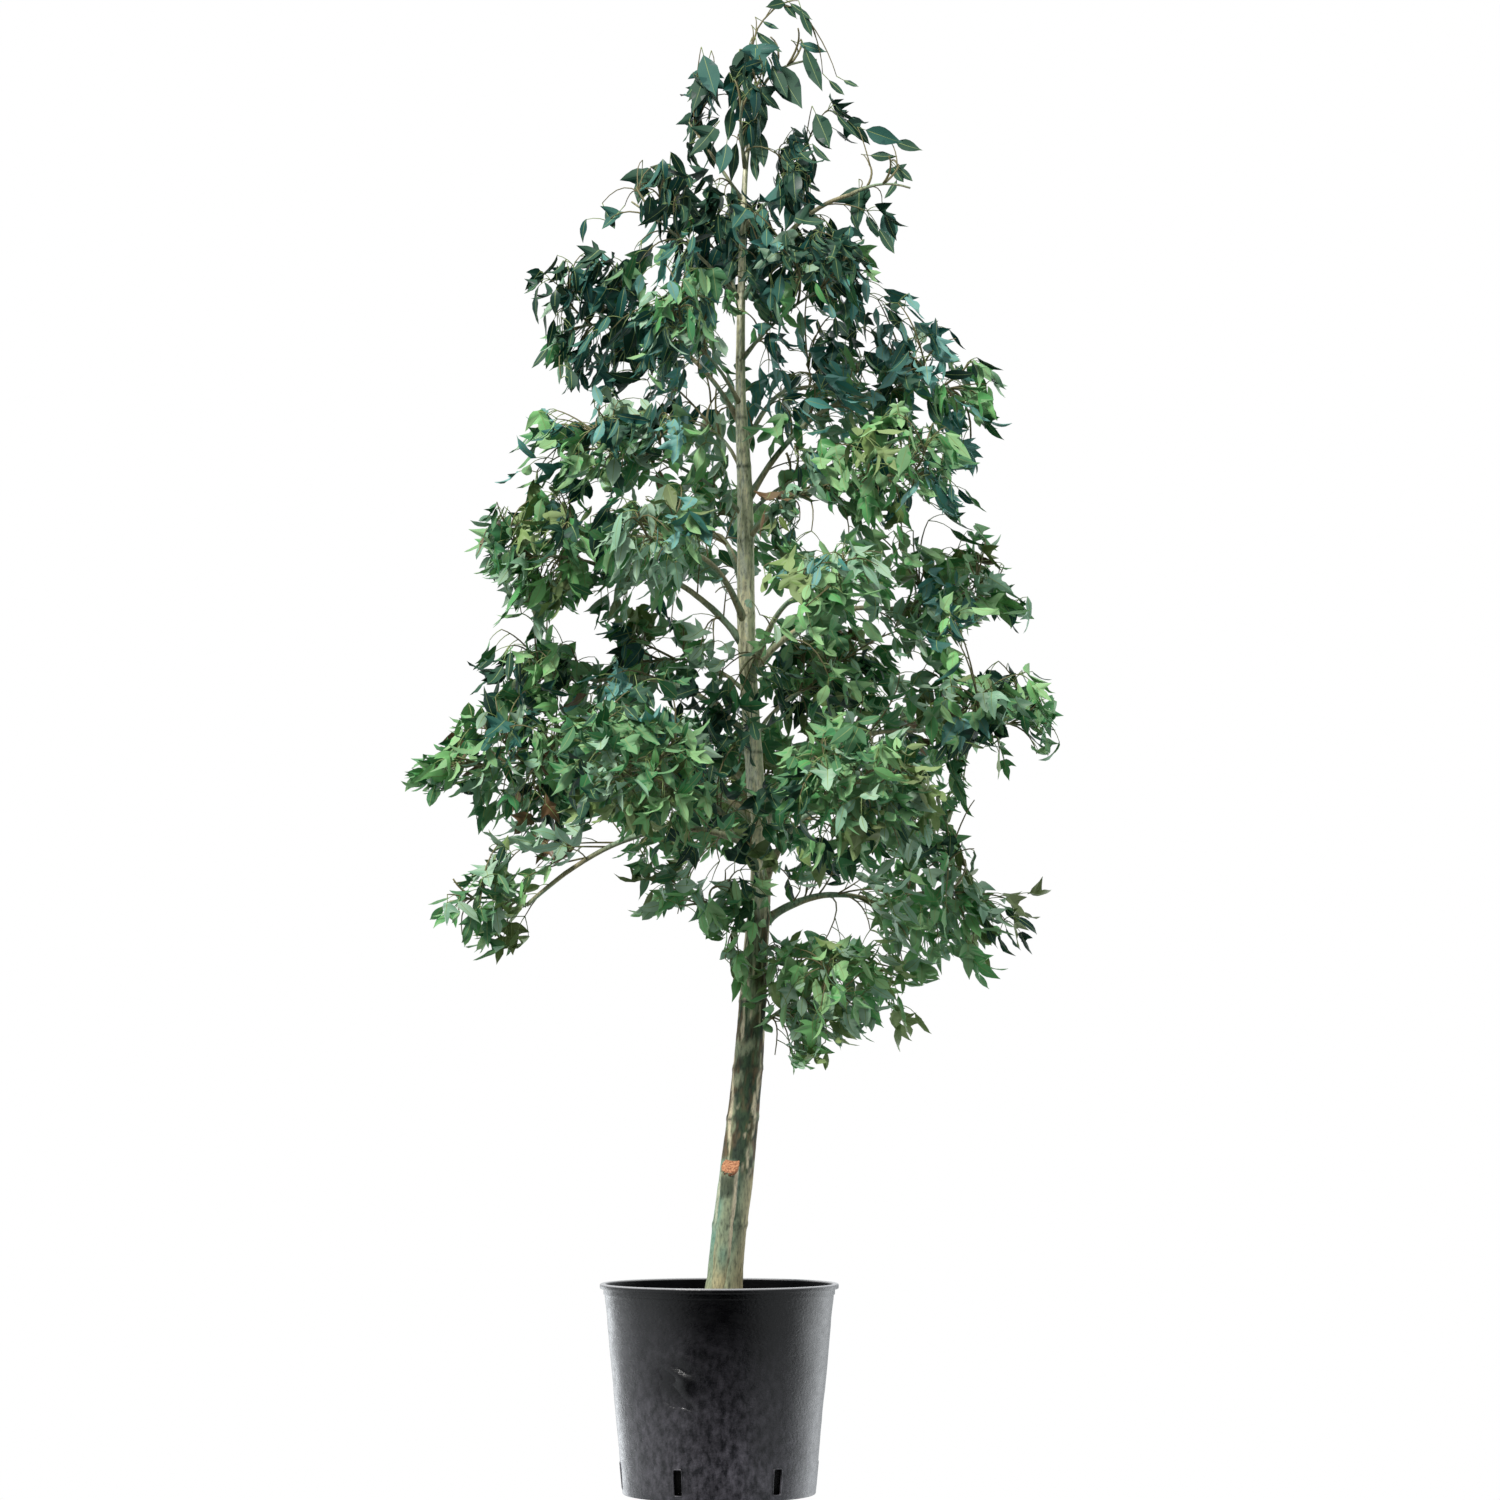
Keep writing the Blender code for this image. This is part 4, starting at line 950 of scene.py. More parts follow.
def make_pot(material):
    """The pot with its rolled lip, dents, drainage slots and the raised rims round them."""
    pot = turned_batch(dense(pot_profile(), POT_STEP), POT_SIDES, dented).build("pot_shell", [material])
    cutters = bpy.data.collections.new("slot_cutters")
    bpy.context.scene.collection.children.link(cutters)
    rims = Batch()
    middle = (SLOT_LOW + SLOT_HIGH) / 2
    outline = slot_outline()
    for i in range(SLOT_COUNT):
        angle = math.radians(SLOT_FIRST_DEG) + i * math.tau / SLOT_COUNT
        turn = Matrix.Rotation(angle, 4, "Z")
        reaches = (BASE_RADIUS + CUTTER_REACH, BASE_RADIUS - CUTTER_REACH)
        block = [turn @ Vector((reach, x, middle + z)) for reach in reaches for x, z in outline]
        block += [turn @ Vector((reach, 0.0, middle)) for reach in reaches]
        cutter = Batch().add(block, closed_faces(2, len(outline), turned_over=True)).build(f"slot_{i}", [])
        cutters.objects.link(cutter)
        ring = []
        for x, z in outline:
            height = middle + z * 1.02
            bend = math.asin(x * 1.02 / wall_radius(height))
            radius = wall_radius(height) - RIM_SUNK
            ring.append(Vector((radius * math.cos(angle + bend), radius * math.sin(angle + bend), height)))
        rims.add(*closed_ring(ring, RIM_RADIUS, 8))
    cut = pot.modifiers.new("slots", "BOOLEAN")
    cut.operation = "DIFFERENCE"
    cut.operand_type = "COLLECTION"
    cut.collection = cutters
    cut.solver = "EXACT"
    bpy.context.view_layer.update()
    mesh = bpy.data.meshes.new_from_object(pot.evaluated_get(bpy.context.evaluated_depsgraph_get()))
    pot.modifiers.clear()
    pot.data = mesh
    mesh.shade_smooth()
    mesh.set_sharp_from_angle(angle=math.radians(40))
    for cutter in list(cutters.objects):
        bpy.data.objects.remove(cutter)
    bpy.data.collections.remove(cutters)
    finished(pot, "pot", "pot")
    finished(rims.build("slot_rims", [material]), "pot")


def make_soil(material, chip_material):
    """The potting mix with an uneven top, and bark chips scattered on it."""
    inner = wall_radius(SOIL_TOP) - WALL - SOIL_CLEAR
    low = WALL + SOIL_CLEAR
    profile = [Vector((inner * k / SOIL_RINGS, SOIL_TOP)) for k in range(SOIL_RINGS + 1)]
    profile += [Vector((wall_radius(low) - WALL - 0.003, low)), Vector((0.0, low))]

    def uneven(radius, height, turn):
        top = height > SOIL_TOP - 0.001
        rim = np.clip((inner - radius) / 0.012, 0, 1)
        x, y = radius * np.cos(turn * math.tau), radius * np.sin(turn * math.tau)
        lumps = level_noise(21, x, y, 0.050) * 0.0028 + level_noise(22, x, y, 0.016) * 0.0022
        crumbs = level_noise(23, x, y, 0.006) * 0.0012
        mound = 0.0045 * np.exp(-((radius / 0.06) ** 2))
        return radius, height + top * (rim * (lumps + crumbs) + mound - 0.0025)

    finished(turned_batch(profile, SOIL_SIDES, uneven).build("potting_mix", [material]), "soil", "soil")

    dice = random.Random("chips")
    chips = Batch()
    for _ in range(CHIP_COUNT):
        radius = inner * math.sqrt(dice.uniform(0.035, 0.94))
        angle = dice.uniform(0.0, math.tau)
        size = dice.uniform(*CHIP_SIZE)
        turn = Matrix.Rotation(dice.uniform(0, math.tau), 3, "Z")
        turn = turn @ Matrix.Rotation(dice.gauss(0, 0.35), 3, "X")
        width, thick = size * dice.uniform(0.35, 0.8), size * dice.uniform(0.14, 0.30)
        points, faces = chip_arrays(size, width, thick, dice)
        height = SOIL_TOP + dice.uniform(-0.001, 0.004)
        place = Vector((radius * math.cos(angle), radius * math.sin(angle), height))
        chips.add([turn @ p + place for p in points], faces)
    piece = chips.build("bark_chips", [chip_material])
    piece.data.set_sharp_from_angle(angle=math.radians(30))
    finished(piece, "soil")


def chip_arrays(length, width, thick, dice):
    """A flat chip with an uneven five- to seven-sided outline."""
    sides = dice.choice((5, 6, 7))
    outline = []
    for k in range(sides):
        angle = k * math.tau / sides + dice.uniform(-0.3, 0.3)
        reach = dice.uniform(0.7, 1.0)
        outline.append((math.cos(angle) * length / 2 * reach, math.sin(angle) * width / 2 * reach))
    points = [Vector((x, y, thick / 2)) for x, y in outline]
    points += [Vector((x * 1.08, y * 1.08, -thick / 2)) for x, y in outline]
    points += [Vector((0, 0, thick * 0.62)), Vector((0, 0, -thick * 0.6))]
    return points, closed_faces(2, sides, turned_over=True)


# Trunk, stub and boughs


def blend(first, second, share):
    """Mixes two colours, or arrays of them, by an array of shares."""
    return np.asarray(first) * (1 - share[..., None]) + np.asarray(second) * share[..., None]


def layered(tone, *layers):
    """A colour with other tones laid over it in turn, each by an array of shares."""
    for name, share in layers:
        tone = blend(tone, TONES[name], share)
    return tone


def band(values, low, high, soft):
    """1 where values lie between low and high, falling to 0 over soft."""
    return np.clip((values - low) / soft + 0.5, 0, 1) * np.clip((high - values) / soft + 0.5, 0, 1)


def around(turn_deg, centre_deg, width_deg):
    """A soft stripe that is 1 at a direction and falls off over a width."""
    return np.exp(-((turn_off(turn_deg, centre_deg) / width_deg) ** 2))


def bark_tone(turn, height):
    """The bark's broad colours: grey-green and olive below, dark above the stub as a painted shadow of the
    crown, pale in the crown with painted light and shade.
    """
    degrees = turn * 360.0
    patch = wrapped_noise(31, turn, height, 5, 0.13)
    streak = wrapped_noise(32, turn, height, 20, 0.040)
    fine = wrapped_noise(33, turn, height, 34, 0.016)
    blotch = wrapped_noise(34, turn, height, 8, 0.030) + 0.4 * fine
    mix = 0.55 * patch + 0.45 * streak
    side = np.clip(0.5 + 0.9 * np.cos(np.radians(degrees - 215.0)) + 0.25 * patch, 0, 1)
    edge = np.abs(np.cos(np.radians(degrees))) ** 2
    low = layered(
        TONES["olive"],
        ("green", side * np.clip((height - 0.30) / 0.14, 0.35, 1.0)),
        ("dark", np.clip(streak * 1.3 - 0.55, 0, 0.6)),
        ("pale", np.clip(patch * 0.9 - 0.25, 0, 0.45)),
    )
    # Above the stub: a painted shadow of the crown, dark, with green, sage and pale streaks on it.
    middle = layered(
        TONES["dark"],
        ("moss_and_shade", np.clip(0.30 + mix, 0, 0.8)),
        # Brown towards the sides the camera sees as the trunk's outline: painted shade.
        ("brown", np.clip(0.9 * edge - 1.1 * fine - 0.25, 0, 0.75)),
        ("sage", np.clip((blotch - 0.25) * 2.2, 0, 0.75)),
        ("pale", np.clip((streak + 0.7 * fine + 0.45 * edge - 0.55) * 2.4, 0, 0.9)),
    )
    high = layered(
        TONES["cream"],
        ("sage", np.clip(0.15 + mix, 0, 0.85)),
        ("tan", np.clip(0.5 * patch + 0.6 * streak - 0.10, 0, 0.6)),
        # A green stripe down the right front side: painted shade.
        ("moss_and_shade", np.clip(0.85 * around(degrees, 322.0, 34.0) + 0.3 * streak - 0.15, 0, 0.65)),
        ("moss_and_shade", np.clip(-mix * 1.6 - 0.45, 0, 0.5)),
        ("dark", np.clip(-streak * 1.6 - 0.85, 0, 0.5)),
    )
    # The dark starts lower on the right front, as a painted shadow under the cut.
    start = STUB_TOP - 0.030 * around(degrees, 330.0, 45.0)
    tone = blend(low, middle, np.clip((height - start - 0.008 * patch) / 0.014, 0, 1))
    # In the crown the pale bark is lifted past its tones: painted light where the leaves shade it.
    tone = blend(tone, np.clip(high * 1.45, 0, 0.88), np.clip((height - 1.02 - 0.06 * patch) / 0.08, 0, 1))
    for k, scar in enumerate(SCAR_HEIGHTS):
        line = band(height + 0.004 * fine, scar - 0.0022, scar + 0.0022, 0.003)
        tone = layered(tone, ("dark", line * (0.85 if k % 2 else 0.6)))
    return np.clip(tone, 0.0, 1.0)


def bark_relief(turn, height, radius):
    """How far the bark stands out: long fissures, a swelling at each old leaf scar and a few flutes."""
    fissure = wrapped_noise(41, turn, height, 34, 0.055)
    grain = wrapped_noise(42, turn, height, 60, 0.014)
    lump = wrapped_noise(43, turn, height, 7, 0.09)
    relief = radius * (0.035 * lump - 0.030 * np.clip(fissure - 0.25, 0, 1) + 0.014 * grain)
    for scar in SCAR_HEIGHTS:
        relief = relief + radius * 0.055 * np.exp(-(((height - scar) / 0.006) ** 2))
    return relief


def with_ends(tones):
    """The colours of rings of points, and those of the points at both ends."""
    return np.concatenate([tones, tones[:1], tones[-1:]])


def paint(piece, tones):
    """Lays a colour for each point on the piece's mesh."""
    layer = piece.data.attributes.new("tone", "FLOAT_COLOR", "POINT")
    rgba = np.ones((len(tones), 4), np.float32)
    rgba[:, :3] = tones
    layer.data.foreach_set("color", rgba.ravel())


def make_trunk(material):
    """The trunk with the relief and tones of its bark, painted shade and light among them, from just under
    the soil's surface to its tip.
    """
    low, high = TRUNK_ROWS[0][0] - 0.006, TRUNK_ROWS[-1][0]
    heights = np.linspace(low, high, TRUNK_RINGS)
    turn, height = np.meshgrid(np.arange(TRUNK_SIDES) / TRUNK_SIDES, heights)
    centres, radii = zip(*(trunk_at(max(h, TRUNK_ROWS[0][0])) for h in heights))
    centre = np.array(centres)
    radius = np.array(radii)[:, None] * np.ones(TRUNK_SIDES)
    flare = 0.0035 * np.exp(-((height - low) / 0.035)) * (1 + 0.8 * np.cos(turn * math.tau * 5 + 0.7))
    radius = radius + bark_relief(turn, height, radius) + flare
    points = level_rings(radius, height, turn, centre[:, :1], centre[:, 1:2])
    points = np.concatenate([points, [(*centre[0, :2], low), (*centre[-1, :2], high)]])
    trunk = Batch().add(points, closed_faces(TRUNK_RINGS, TRUNK_SIDES)).build("trunk_bark", [material])
    paint(trunk, with_ends(bark_tone(turn, height).reshape(-1, 3)))
    finished(trunk, "bark", "trunk")


def make_stub(bark, cut):
    """A side stem that was sawn off: it runs up the trunk's front, grown half into it, to a cut end."""
    azimuth = math.radians(STUB_AZIMUTH_DEG)
    outward = Vector((math.cos(azimuth), math.sin(azimuth), 0.0))
    low, top = TRUNK_ROWS[0][0] - 0.004, STUB_TOP + STUB_RADIUS
    shares = [i / (STUB_RINGS - 1) for i in range(STUB_RINGS)]
    points, radii = [], []
    for share in shares:
        centre, _ = trunk_at(low + (top - low) * share)
        points.append(centre + outward * (STUB_OFFSET[0] + (STUB_OFFSET[1] - STUB_OFFSET[0]) * share**2.2))
        lip = 0.06 * math.exp(-(((share - 1.0) / 0.05) ** 2))
        radii.append(STUB_RADIUS * (1.22 - 0.22 * share**0.7 + lip))
    made, faces = tube_arrays(points, radii, STUB_SIDES)
    axis = np.repeat(np.array(points), STUB_SIDES, axis=0)
    spokes = made[:-2] - axis
    turn = np.arctan2(spokes[:, 1], spokes[:, 0]) / math.tau % 1.0
    height = axis[:, 2]
    swell = 1 + 0.05 * wrapped_noise(51, turn, height, 9, 0.03)
    swell = swell + 0.03 * wrapped_noise(52, turn, height, 24, 0.008)
    made[:-2] = axis + spokes * swell[:, None]
    lean = (points[-1] - points[-4]).normalized()
    end = points[-1] - lean * (STUB_RADIUS / lean.z)
    slant = math.radians(STUB_CUT_DEG)
    normal = (lean * math.cos(slant) + outward * math.sin(slant)).normalized()

    def past_cut(spots):
        """How far along the stem the points stand past the slanting cut."""
        return (spots - np.array(end)) @ np.array(normal) / lean.dot(normal)

    made = made - np.clip(past_cut(made), 0.0, None)[:, None] * np.array(lean)
    piece = Batch().add(made, faces).build("stub_bark", [bark])
    paint(piece, with_ends(stub_tone(turn, height)))
    finished(piece, "bark")

    rows = [(1.0, CUT_FOOT)]
    for i in range(CUT_RINGS):
        share = 1.0 - i / CUT_RINGS
        rows.append((share, CUT_RISE - 0.0012 * share**4 + 0.0003 * (i % 2)))
    cap = []
    for share, _ in rows:
        for angle in (k * math.tau / CUT_SIDES for k in range(CUT_SIDES)):
            wobble = 1.0 + 0.05 * math.sin(3 * angle + 1.0)
            cap.append(end + spoke(lean, angle) * STUB_RADIUS * 1.05 * share * wobble)
    cap = np.array([*cap, end, end])
    lifts = np.append(np.repeat([lift for _, lift in rows], CUT_SIDES), [CUT_FOOT, CUT_RISE])
    cap = cap + (lifts - past_cut(cap))[:, None] * np.array(lean)
    face = Batch().add(cap, closed_faces(len(rows), CUT_SIDES))
    finished(face.build("stub_wood", [cut]), "cut_wood", "pruned_stub")


def stub_tone(turn, height):
    """The sawn stem's bark: grey-green, with a pale stripe on its right that is partly a painted highlight,
    and a painted shadow under the cut.
    """
    patch = wrapped_noise(54, turn, height, 4, 0.045)
    fine = wrapped_noise(55, turn, height, 22, 0.014)
    teal = band(height, 0.43, 0.54, 0.05)
    # The pale stripe on the right: pale bark and a painted highlight.
    ridge_and_highlight = around(turn * 360.0, 318.0, 17.0) * band(height, 0.42, 0.60, 0.05)
    # A painted shadow under the cut.
    shade = band(height, 0.518, 0.556, 0.012) * np.clip(0.75 + 0.5 * patch, 0, 1)
    return layered(
        TONES["green"],
        ("olive", np.clip(0.45 + 0.8 * patch - 0.35 * teal, 0, 0.8)),
        ("olive", 0.6 * np.clip((0.42 - height) / 0.05, 0, 1)),
        ("dark", np.clip(fine * 1.4 - 0.7, 0, 0.5)),
        ("pale", np.clip(ridge_and_highlight * 1.2, 0, 1)),
        ("dark", 0.85 * shade * (1 - ridge_and_highlight)),
    )


def limb_radii(thick, tip, count, collar):
    """Radii of a limb that swells where it leaves its parent and tapers to its tip."""
    shares = [i / (count - 1) for i in range(count)]
    return [(thick + (tip - thick) * s**0.8) * (1.0 + collar * math.exp(-((s / 0.07) ** 2))) for s in shares]


def add_limb(batch, tones, points, radii, sides, seed, dark):
    """Adds a limb with rough bark to the batch and its colours to the list."""
    made, faces = tube_arrays(points, radii, sides)
    turn = np.tile(np.arange(sides) / sides, len(points))
    along = np.repeat(np.linspace(0.0, (points[-1] - points[0]).length, len(points)), sides)
    axis = np.repeat(np.array(points), sides, axis=0)
    swell = 1 + 0.10 * wrapped_noise(seed, turn, along, 5, 0.03)
    swell = swell + 0.05 * wrapped_noise(seed + 1, turn, along, 9, 0.01)
    made[:-2] = axis + (made[:-2] - axis) * swell[:, None]
    batch.add(made, faces)
    patch = wrapped_noise(seed + 2, turn, along, 4, 0.05)
    layers = ("tan", np.clip(0.5 + patch, 0, 1)), ("green", np.clip(dark - patch, 0, 0.6))
    tones.append(with_ends(layered(TONES["sage"], *layers)))


# Leaves

LeafShape = namedtuple("LeafShape", "margin rib")
Leaf = namedtuple("Leaf", "shape group base axes length bend fold twist wave phase petiole")


def plain_leaf(half_width, lean, shares):
    """A leaf in one lobe: half-widths as shares of the widest, with margins that lean forward."""
    ribs = [i / (len(shares) - 1) for i in range(len(shares))]
    margin = [(half_width * w, t + lean * math.sin(math.pi * t)) for w, t in zip(shares, ribs)]
    return LeafShape(margin, ribs)


# Each leaf's margin as (across, along) on one side, and the places along its rib that the margin joins
LEAF_SHAPES = {
    "ovate": plain_leaf(0.205, 0.02, (0.0, 0.66, 0.97, 1.0, 0.84, 0.50, 0.17, 0.0)),
    "lance": plain_leaf(0.145, 0.03, (0.0, 0.62, 0.96, 1.0, 0.90, 0.64, 0.28, 0.0)),
    "three_lobed": LeafShape(
        (
            (0.0, 0.0), (0.13, -0.02), (0.24, 0.04), (0.35, 0.18), (0.44, 0.40), (0.27, 0.34),
            (0.155, 0.38), (0.175, 0.50), (0.15, 0.63), (0.095, 0.77), (0.035, 0.90), (0.0, 1.0),
        ),
        (0.0, 0.03, 0.07, 0.11, 0.15, 0.23, 0.33, 0.46, 0.60, 0.75, 0.89, 1.0),
    ),
    "five_lobed": LeafShape(
        (
            (0.0, 0.0), (0.15, -0.07), (0.33, -0.04), (0.19, 0.07), (0.31, 0.17), (0.43, 0.42),
            (0.25, 0.35), (0.14, 0.40), (0.165, 0.56), (0.11, 0.73), (0.04, 0.89), (0.0, 1.0),
        ),
        (0.0, 0.02, 0.05, 0.09, 0.12, 0.16, 0.25, 0.35, 0.52, 0.71, 0.88, 1.0),
    ),
}
WIDTH_TO_TEST = {"ovate": 0.22, "lance": 0.14, "three_lobed": 0.36, "five_lobed": 0.36}
TOP, UNDER, RIB = 0, 1, 2
# A blade's section, point by point round it: which side of the rib, share of the way from the rib to the
# margin, and sheet (1 on top and 0 below), and then the material of the face from each point to the next
SECTION = ((-1, 1.0, 0.5), (-1, 0.0, 1.0), (1, 0.0, 1.0), (1, 1.0, 0.5), (1, 0.0, 0.0), (-1, 0.0, 0.0))
SECTION_KINDS = (TOP, RIB, TOP, UNDER, RIB, UNDER)


def leaf_template(shape):
    """A flat leaf of unit length: across, along, share of the way from rib to margin, side of the rib and
    sheet of its points, and then its faces, their materials and which points are on its rim."""
    points = []
    for (x, y), rib in list(zip(shape.margin, shape.rib))[1:-1]:
        for hand, share, sheet in SECTION:
            points.append((hand * x * share, rib + (y - rib) * share, share, hand, sheet))
    points += [(0.0, 0.0, 0.0, 0, 0.5), (0.0, 1.0, 0.0, 0, 0.5)]
    across, along, outness, side, sheet = np.array(points).T
    rings, sides = len(shape.rib) - 2, len(SECTION)
    kinds = np.r_[np.tile(SECTION_KINDS, rings - 1), np.repeat(SECTION_KINDS, 2)]
    return across, along, outness, side, sheet, closed_faces(rings, sides), kinds, sheet == 0.5


TEMPLATES = {name: leaf_template(shape) for name, shape in LEAF_SHAPES.items()}


def shaped_leaves(template, leaves):
    """The points of each of many leaves of one template, bent, folded, waved and put in place."""
    across, along, outness, side, sheet = TEMPLATES[template][:5]
    length, bend, fold, twist, wave, phase = np.array([leaf[4:10] for leaf in leaves]).T[..., None]
    x = across * length
    rib_side = (outness == 0) & (side != 0)
    x = x + np.where(rib_side, side * RIB_HALF, 0.0) * (1 - 0.8 * along)
    reach = np.abs(x)
    z = reach * np.tan(fold) - 2.2 * reach**2 / length
    z = z + wave * length * outness**2 * np.sin(math.tau * 2.2 * along + phase + side * 1.3)
    z = z + (sheet - 0.5) * THICKNESS + np.where(rib_side, (sheet - 0.5) * RIB_THICKNESS, 0.0)
    x = x * np.cos(fold)
    angle = twist * along
    x, z = x * np.cos(angle) - z * np.sin(angle), x * np.sin(angle) + z * np.cos(angle)
    bent = bend / length
    turn = bent * (along * length)
    forward = np.sin(turn) / bent + z * np.sin(turn)
    rise = -(1 - np.cos(turn)) / bent + z * np.cos(turn)
    base = np.array([leaf.base for leaf in leaves])[:, None]
    axes = np.array([leaf.axes for leaf in leaves])[:, :, None]
    return base + x[..., None] * axes[:, 0] + forward[..., None] * axes[:, 1] + rise[..., None] * axes[:, 2]


def spray_group(tip, dice):
    """The colour of a spray by the place of its tip, darker near the trunk in the thick of the crown as
    painted shade.
    """
    weights = [float(np.interp(tip.z, COLOUR_HEIGHTS, shares)) for _, _, _, shares in LEAF_GROUPS]
    x, y, _ = from_trunk(tip)
    if SHADE_HEIGHTS[0] < tip.z < SHADE_HEIGHTS[1] and math.hypot(x, y) < SHADE_DISTANCE:
        weights = [w * SHADE_GROUPS.get(group[0], SHADE_REST) for w, group in zip(weights, LEAF_GROUPS)]
    return dice.choices(range(len(LEAF_GROUPS)), weights)[0]


def seen_at(point):
    """Where the camera sees a point on the upright plane through the pot's centre: sideways and height."""
    scale = -CAMERA_AT.y / (point.y - CAMERA_AT.y)
    return CAMERA_AT.x + (point.x - CAMERA_AT.x) * scale, CAMERA_AT.z + (point.z - CAMERA_AT.z) * scale


def seen_in(point, ellipses, slack=1.0):
    """Whether the camera sees the point in one of some ellipses, such as the gaps that show sky."""
    x, z = seen_at(point)
    return any(((x - a) / c) ** 2 + ((z - b) / d) ** 2 < slack for a, b, c, d in ellipses)


def in_reach(point):
    """Whether the point keeps to the box of the solids, but for a little."""
    sides = zip(CAD_LOW[:2], point, CAD_HIGH[:2])
    return all(a - PAST_BOX < c < b + PAST_BOX for a, c, b in sides) and point.z < CAD_HIGH[2]


def hides_trunk(point):
    """Whether the point stands in front of the trunk where the camera sees it bare."""
    axis, radius = trunk_at(point.z)
    if point.y > axis.y or not TRUNK_SHOWS[0] < point.z < TRUNK_SHOWS[1]:
        return False
    return abs(seen_at(point)[0] - seen_at(axis)[0]) < radius + 0.004


def allowed(space, spots, dice):
    """Whether a blade keeps to its mass and the crown's reach, off the trunk and out of the gaps. Most that
    would hide the trunk where it shows may not be."""
    limit = 1.0 + OVERHANG / min(space.half) if space else None
    for number, spot in enumerate(spots):
        slack = 1.0 if number < 3 else TIP_SLACK
        if space and level(space, spot) > limit or seen_in(spot, SKY_GAPS, slack) or not in_reach(spot):
            return False
        x, y, radius = from_trunk(spot)
        if math.hypot(x, y) < radius + TRUNK_CLEAR:
            return False
    return not (any(hides_trunk(spot) for spot in spots) and dice.random() < TRUNK_HIDDEN)


def blade_spots(leaf_base, axes, length, bend, half_width):
    """A few points of a bent blade, to test where it may be: both sides, middle, near the tip and tip."""
    across, forward, above = axes
    bent = bend / length

    def at(share, sideways):
        turn = bent * share * length
        ahead = forward * (math.sin(turn) / bent) - above * ((1 - math.cos(turn)) / bent)
        return leaf_base + ahead + across * sideways * length

    return [at(0.4, half_width), at(0.4, -half_width), at(0.4, 0.0), at(0.75, 0.0), at(1.0, 0.0)]


def up_crown(height):
    """0 low in the crown and 1 near its top."""
    return min(max((height - LOW_CROWN) / (HIGH_CROWN - LOW_CROWN), 0.0), 1.0)


def leaf_kind(height, dice):
    """Leaves are more often lobed low in the crown and slender near its top."""
    place = up_crown(height)
    weights = (0.28 - 0.02 * place, 0.20 + 0.28 * place, 0.38 - 0.16 * place, 0.14 - 0.10 * place)
    return dice.choices(tuple(LEAF_SHAPES), weights)[0]


def loose(dice, folds, twist, wave):
    """A blade's fold, twist, wave and phase of the wave, in this order."""
    ranges = folds, (-twist, twist), (0.0, wave), (0.0, math.tau)
    return [dice.uniform(*span) for span in ranges]


def any_way(dice, size):
    """A small random step."""
    return Vector([dice.gauss(0.0, size) for _ in range(3)])


def cell_of(point):
    """The cell of a coarse grid that a point is in."""
    return tuple(math.floor(c / LEAST_APART) for c in point)


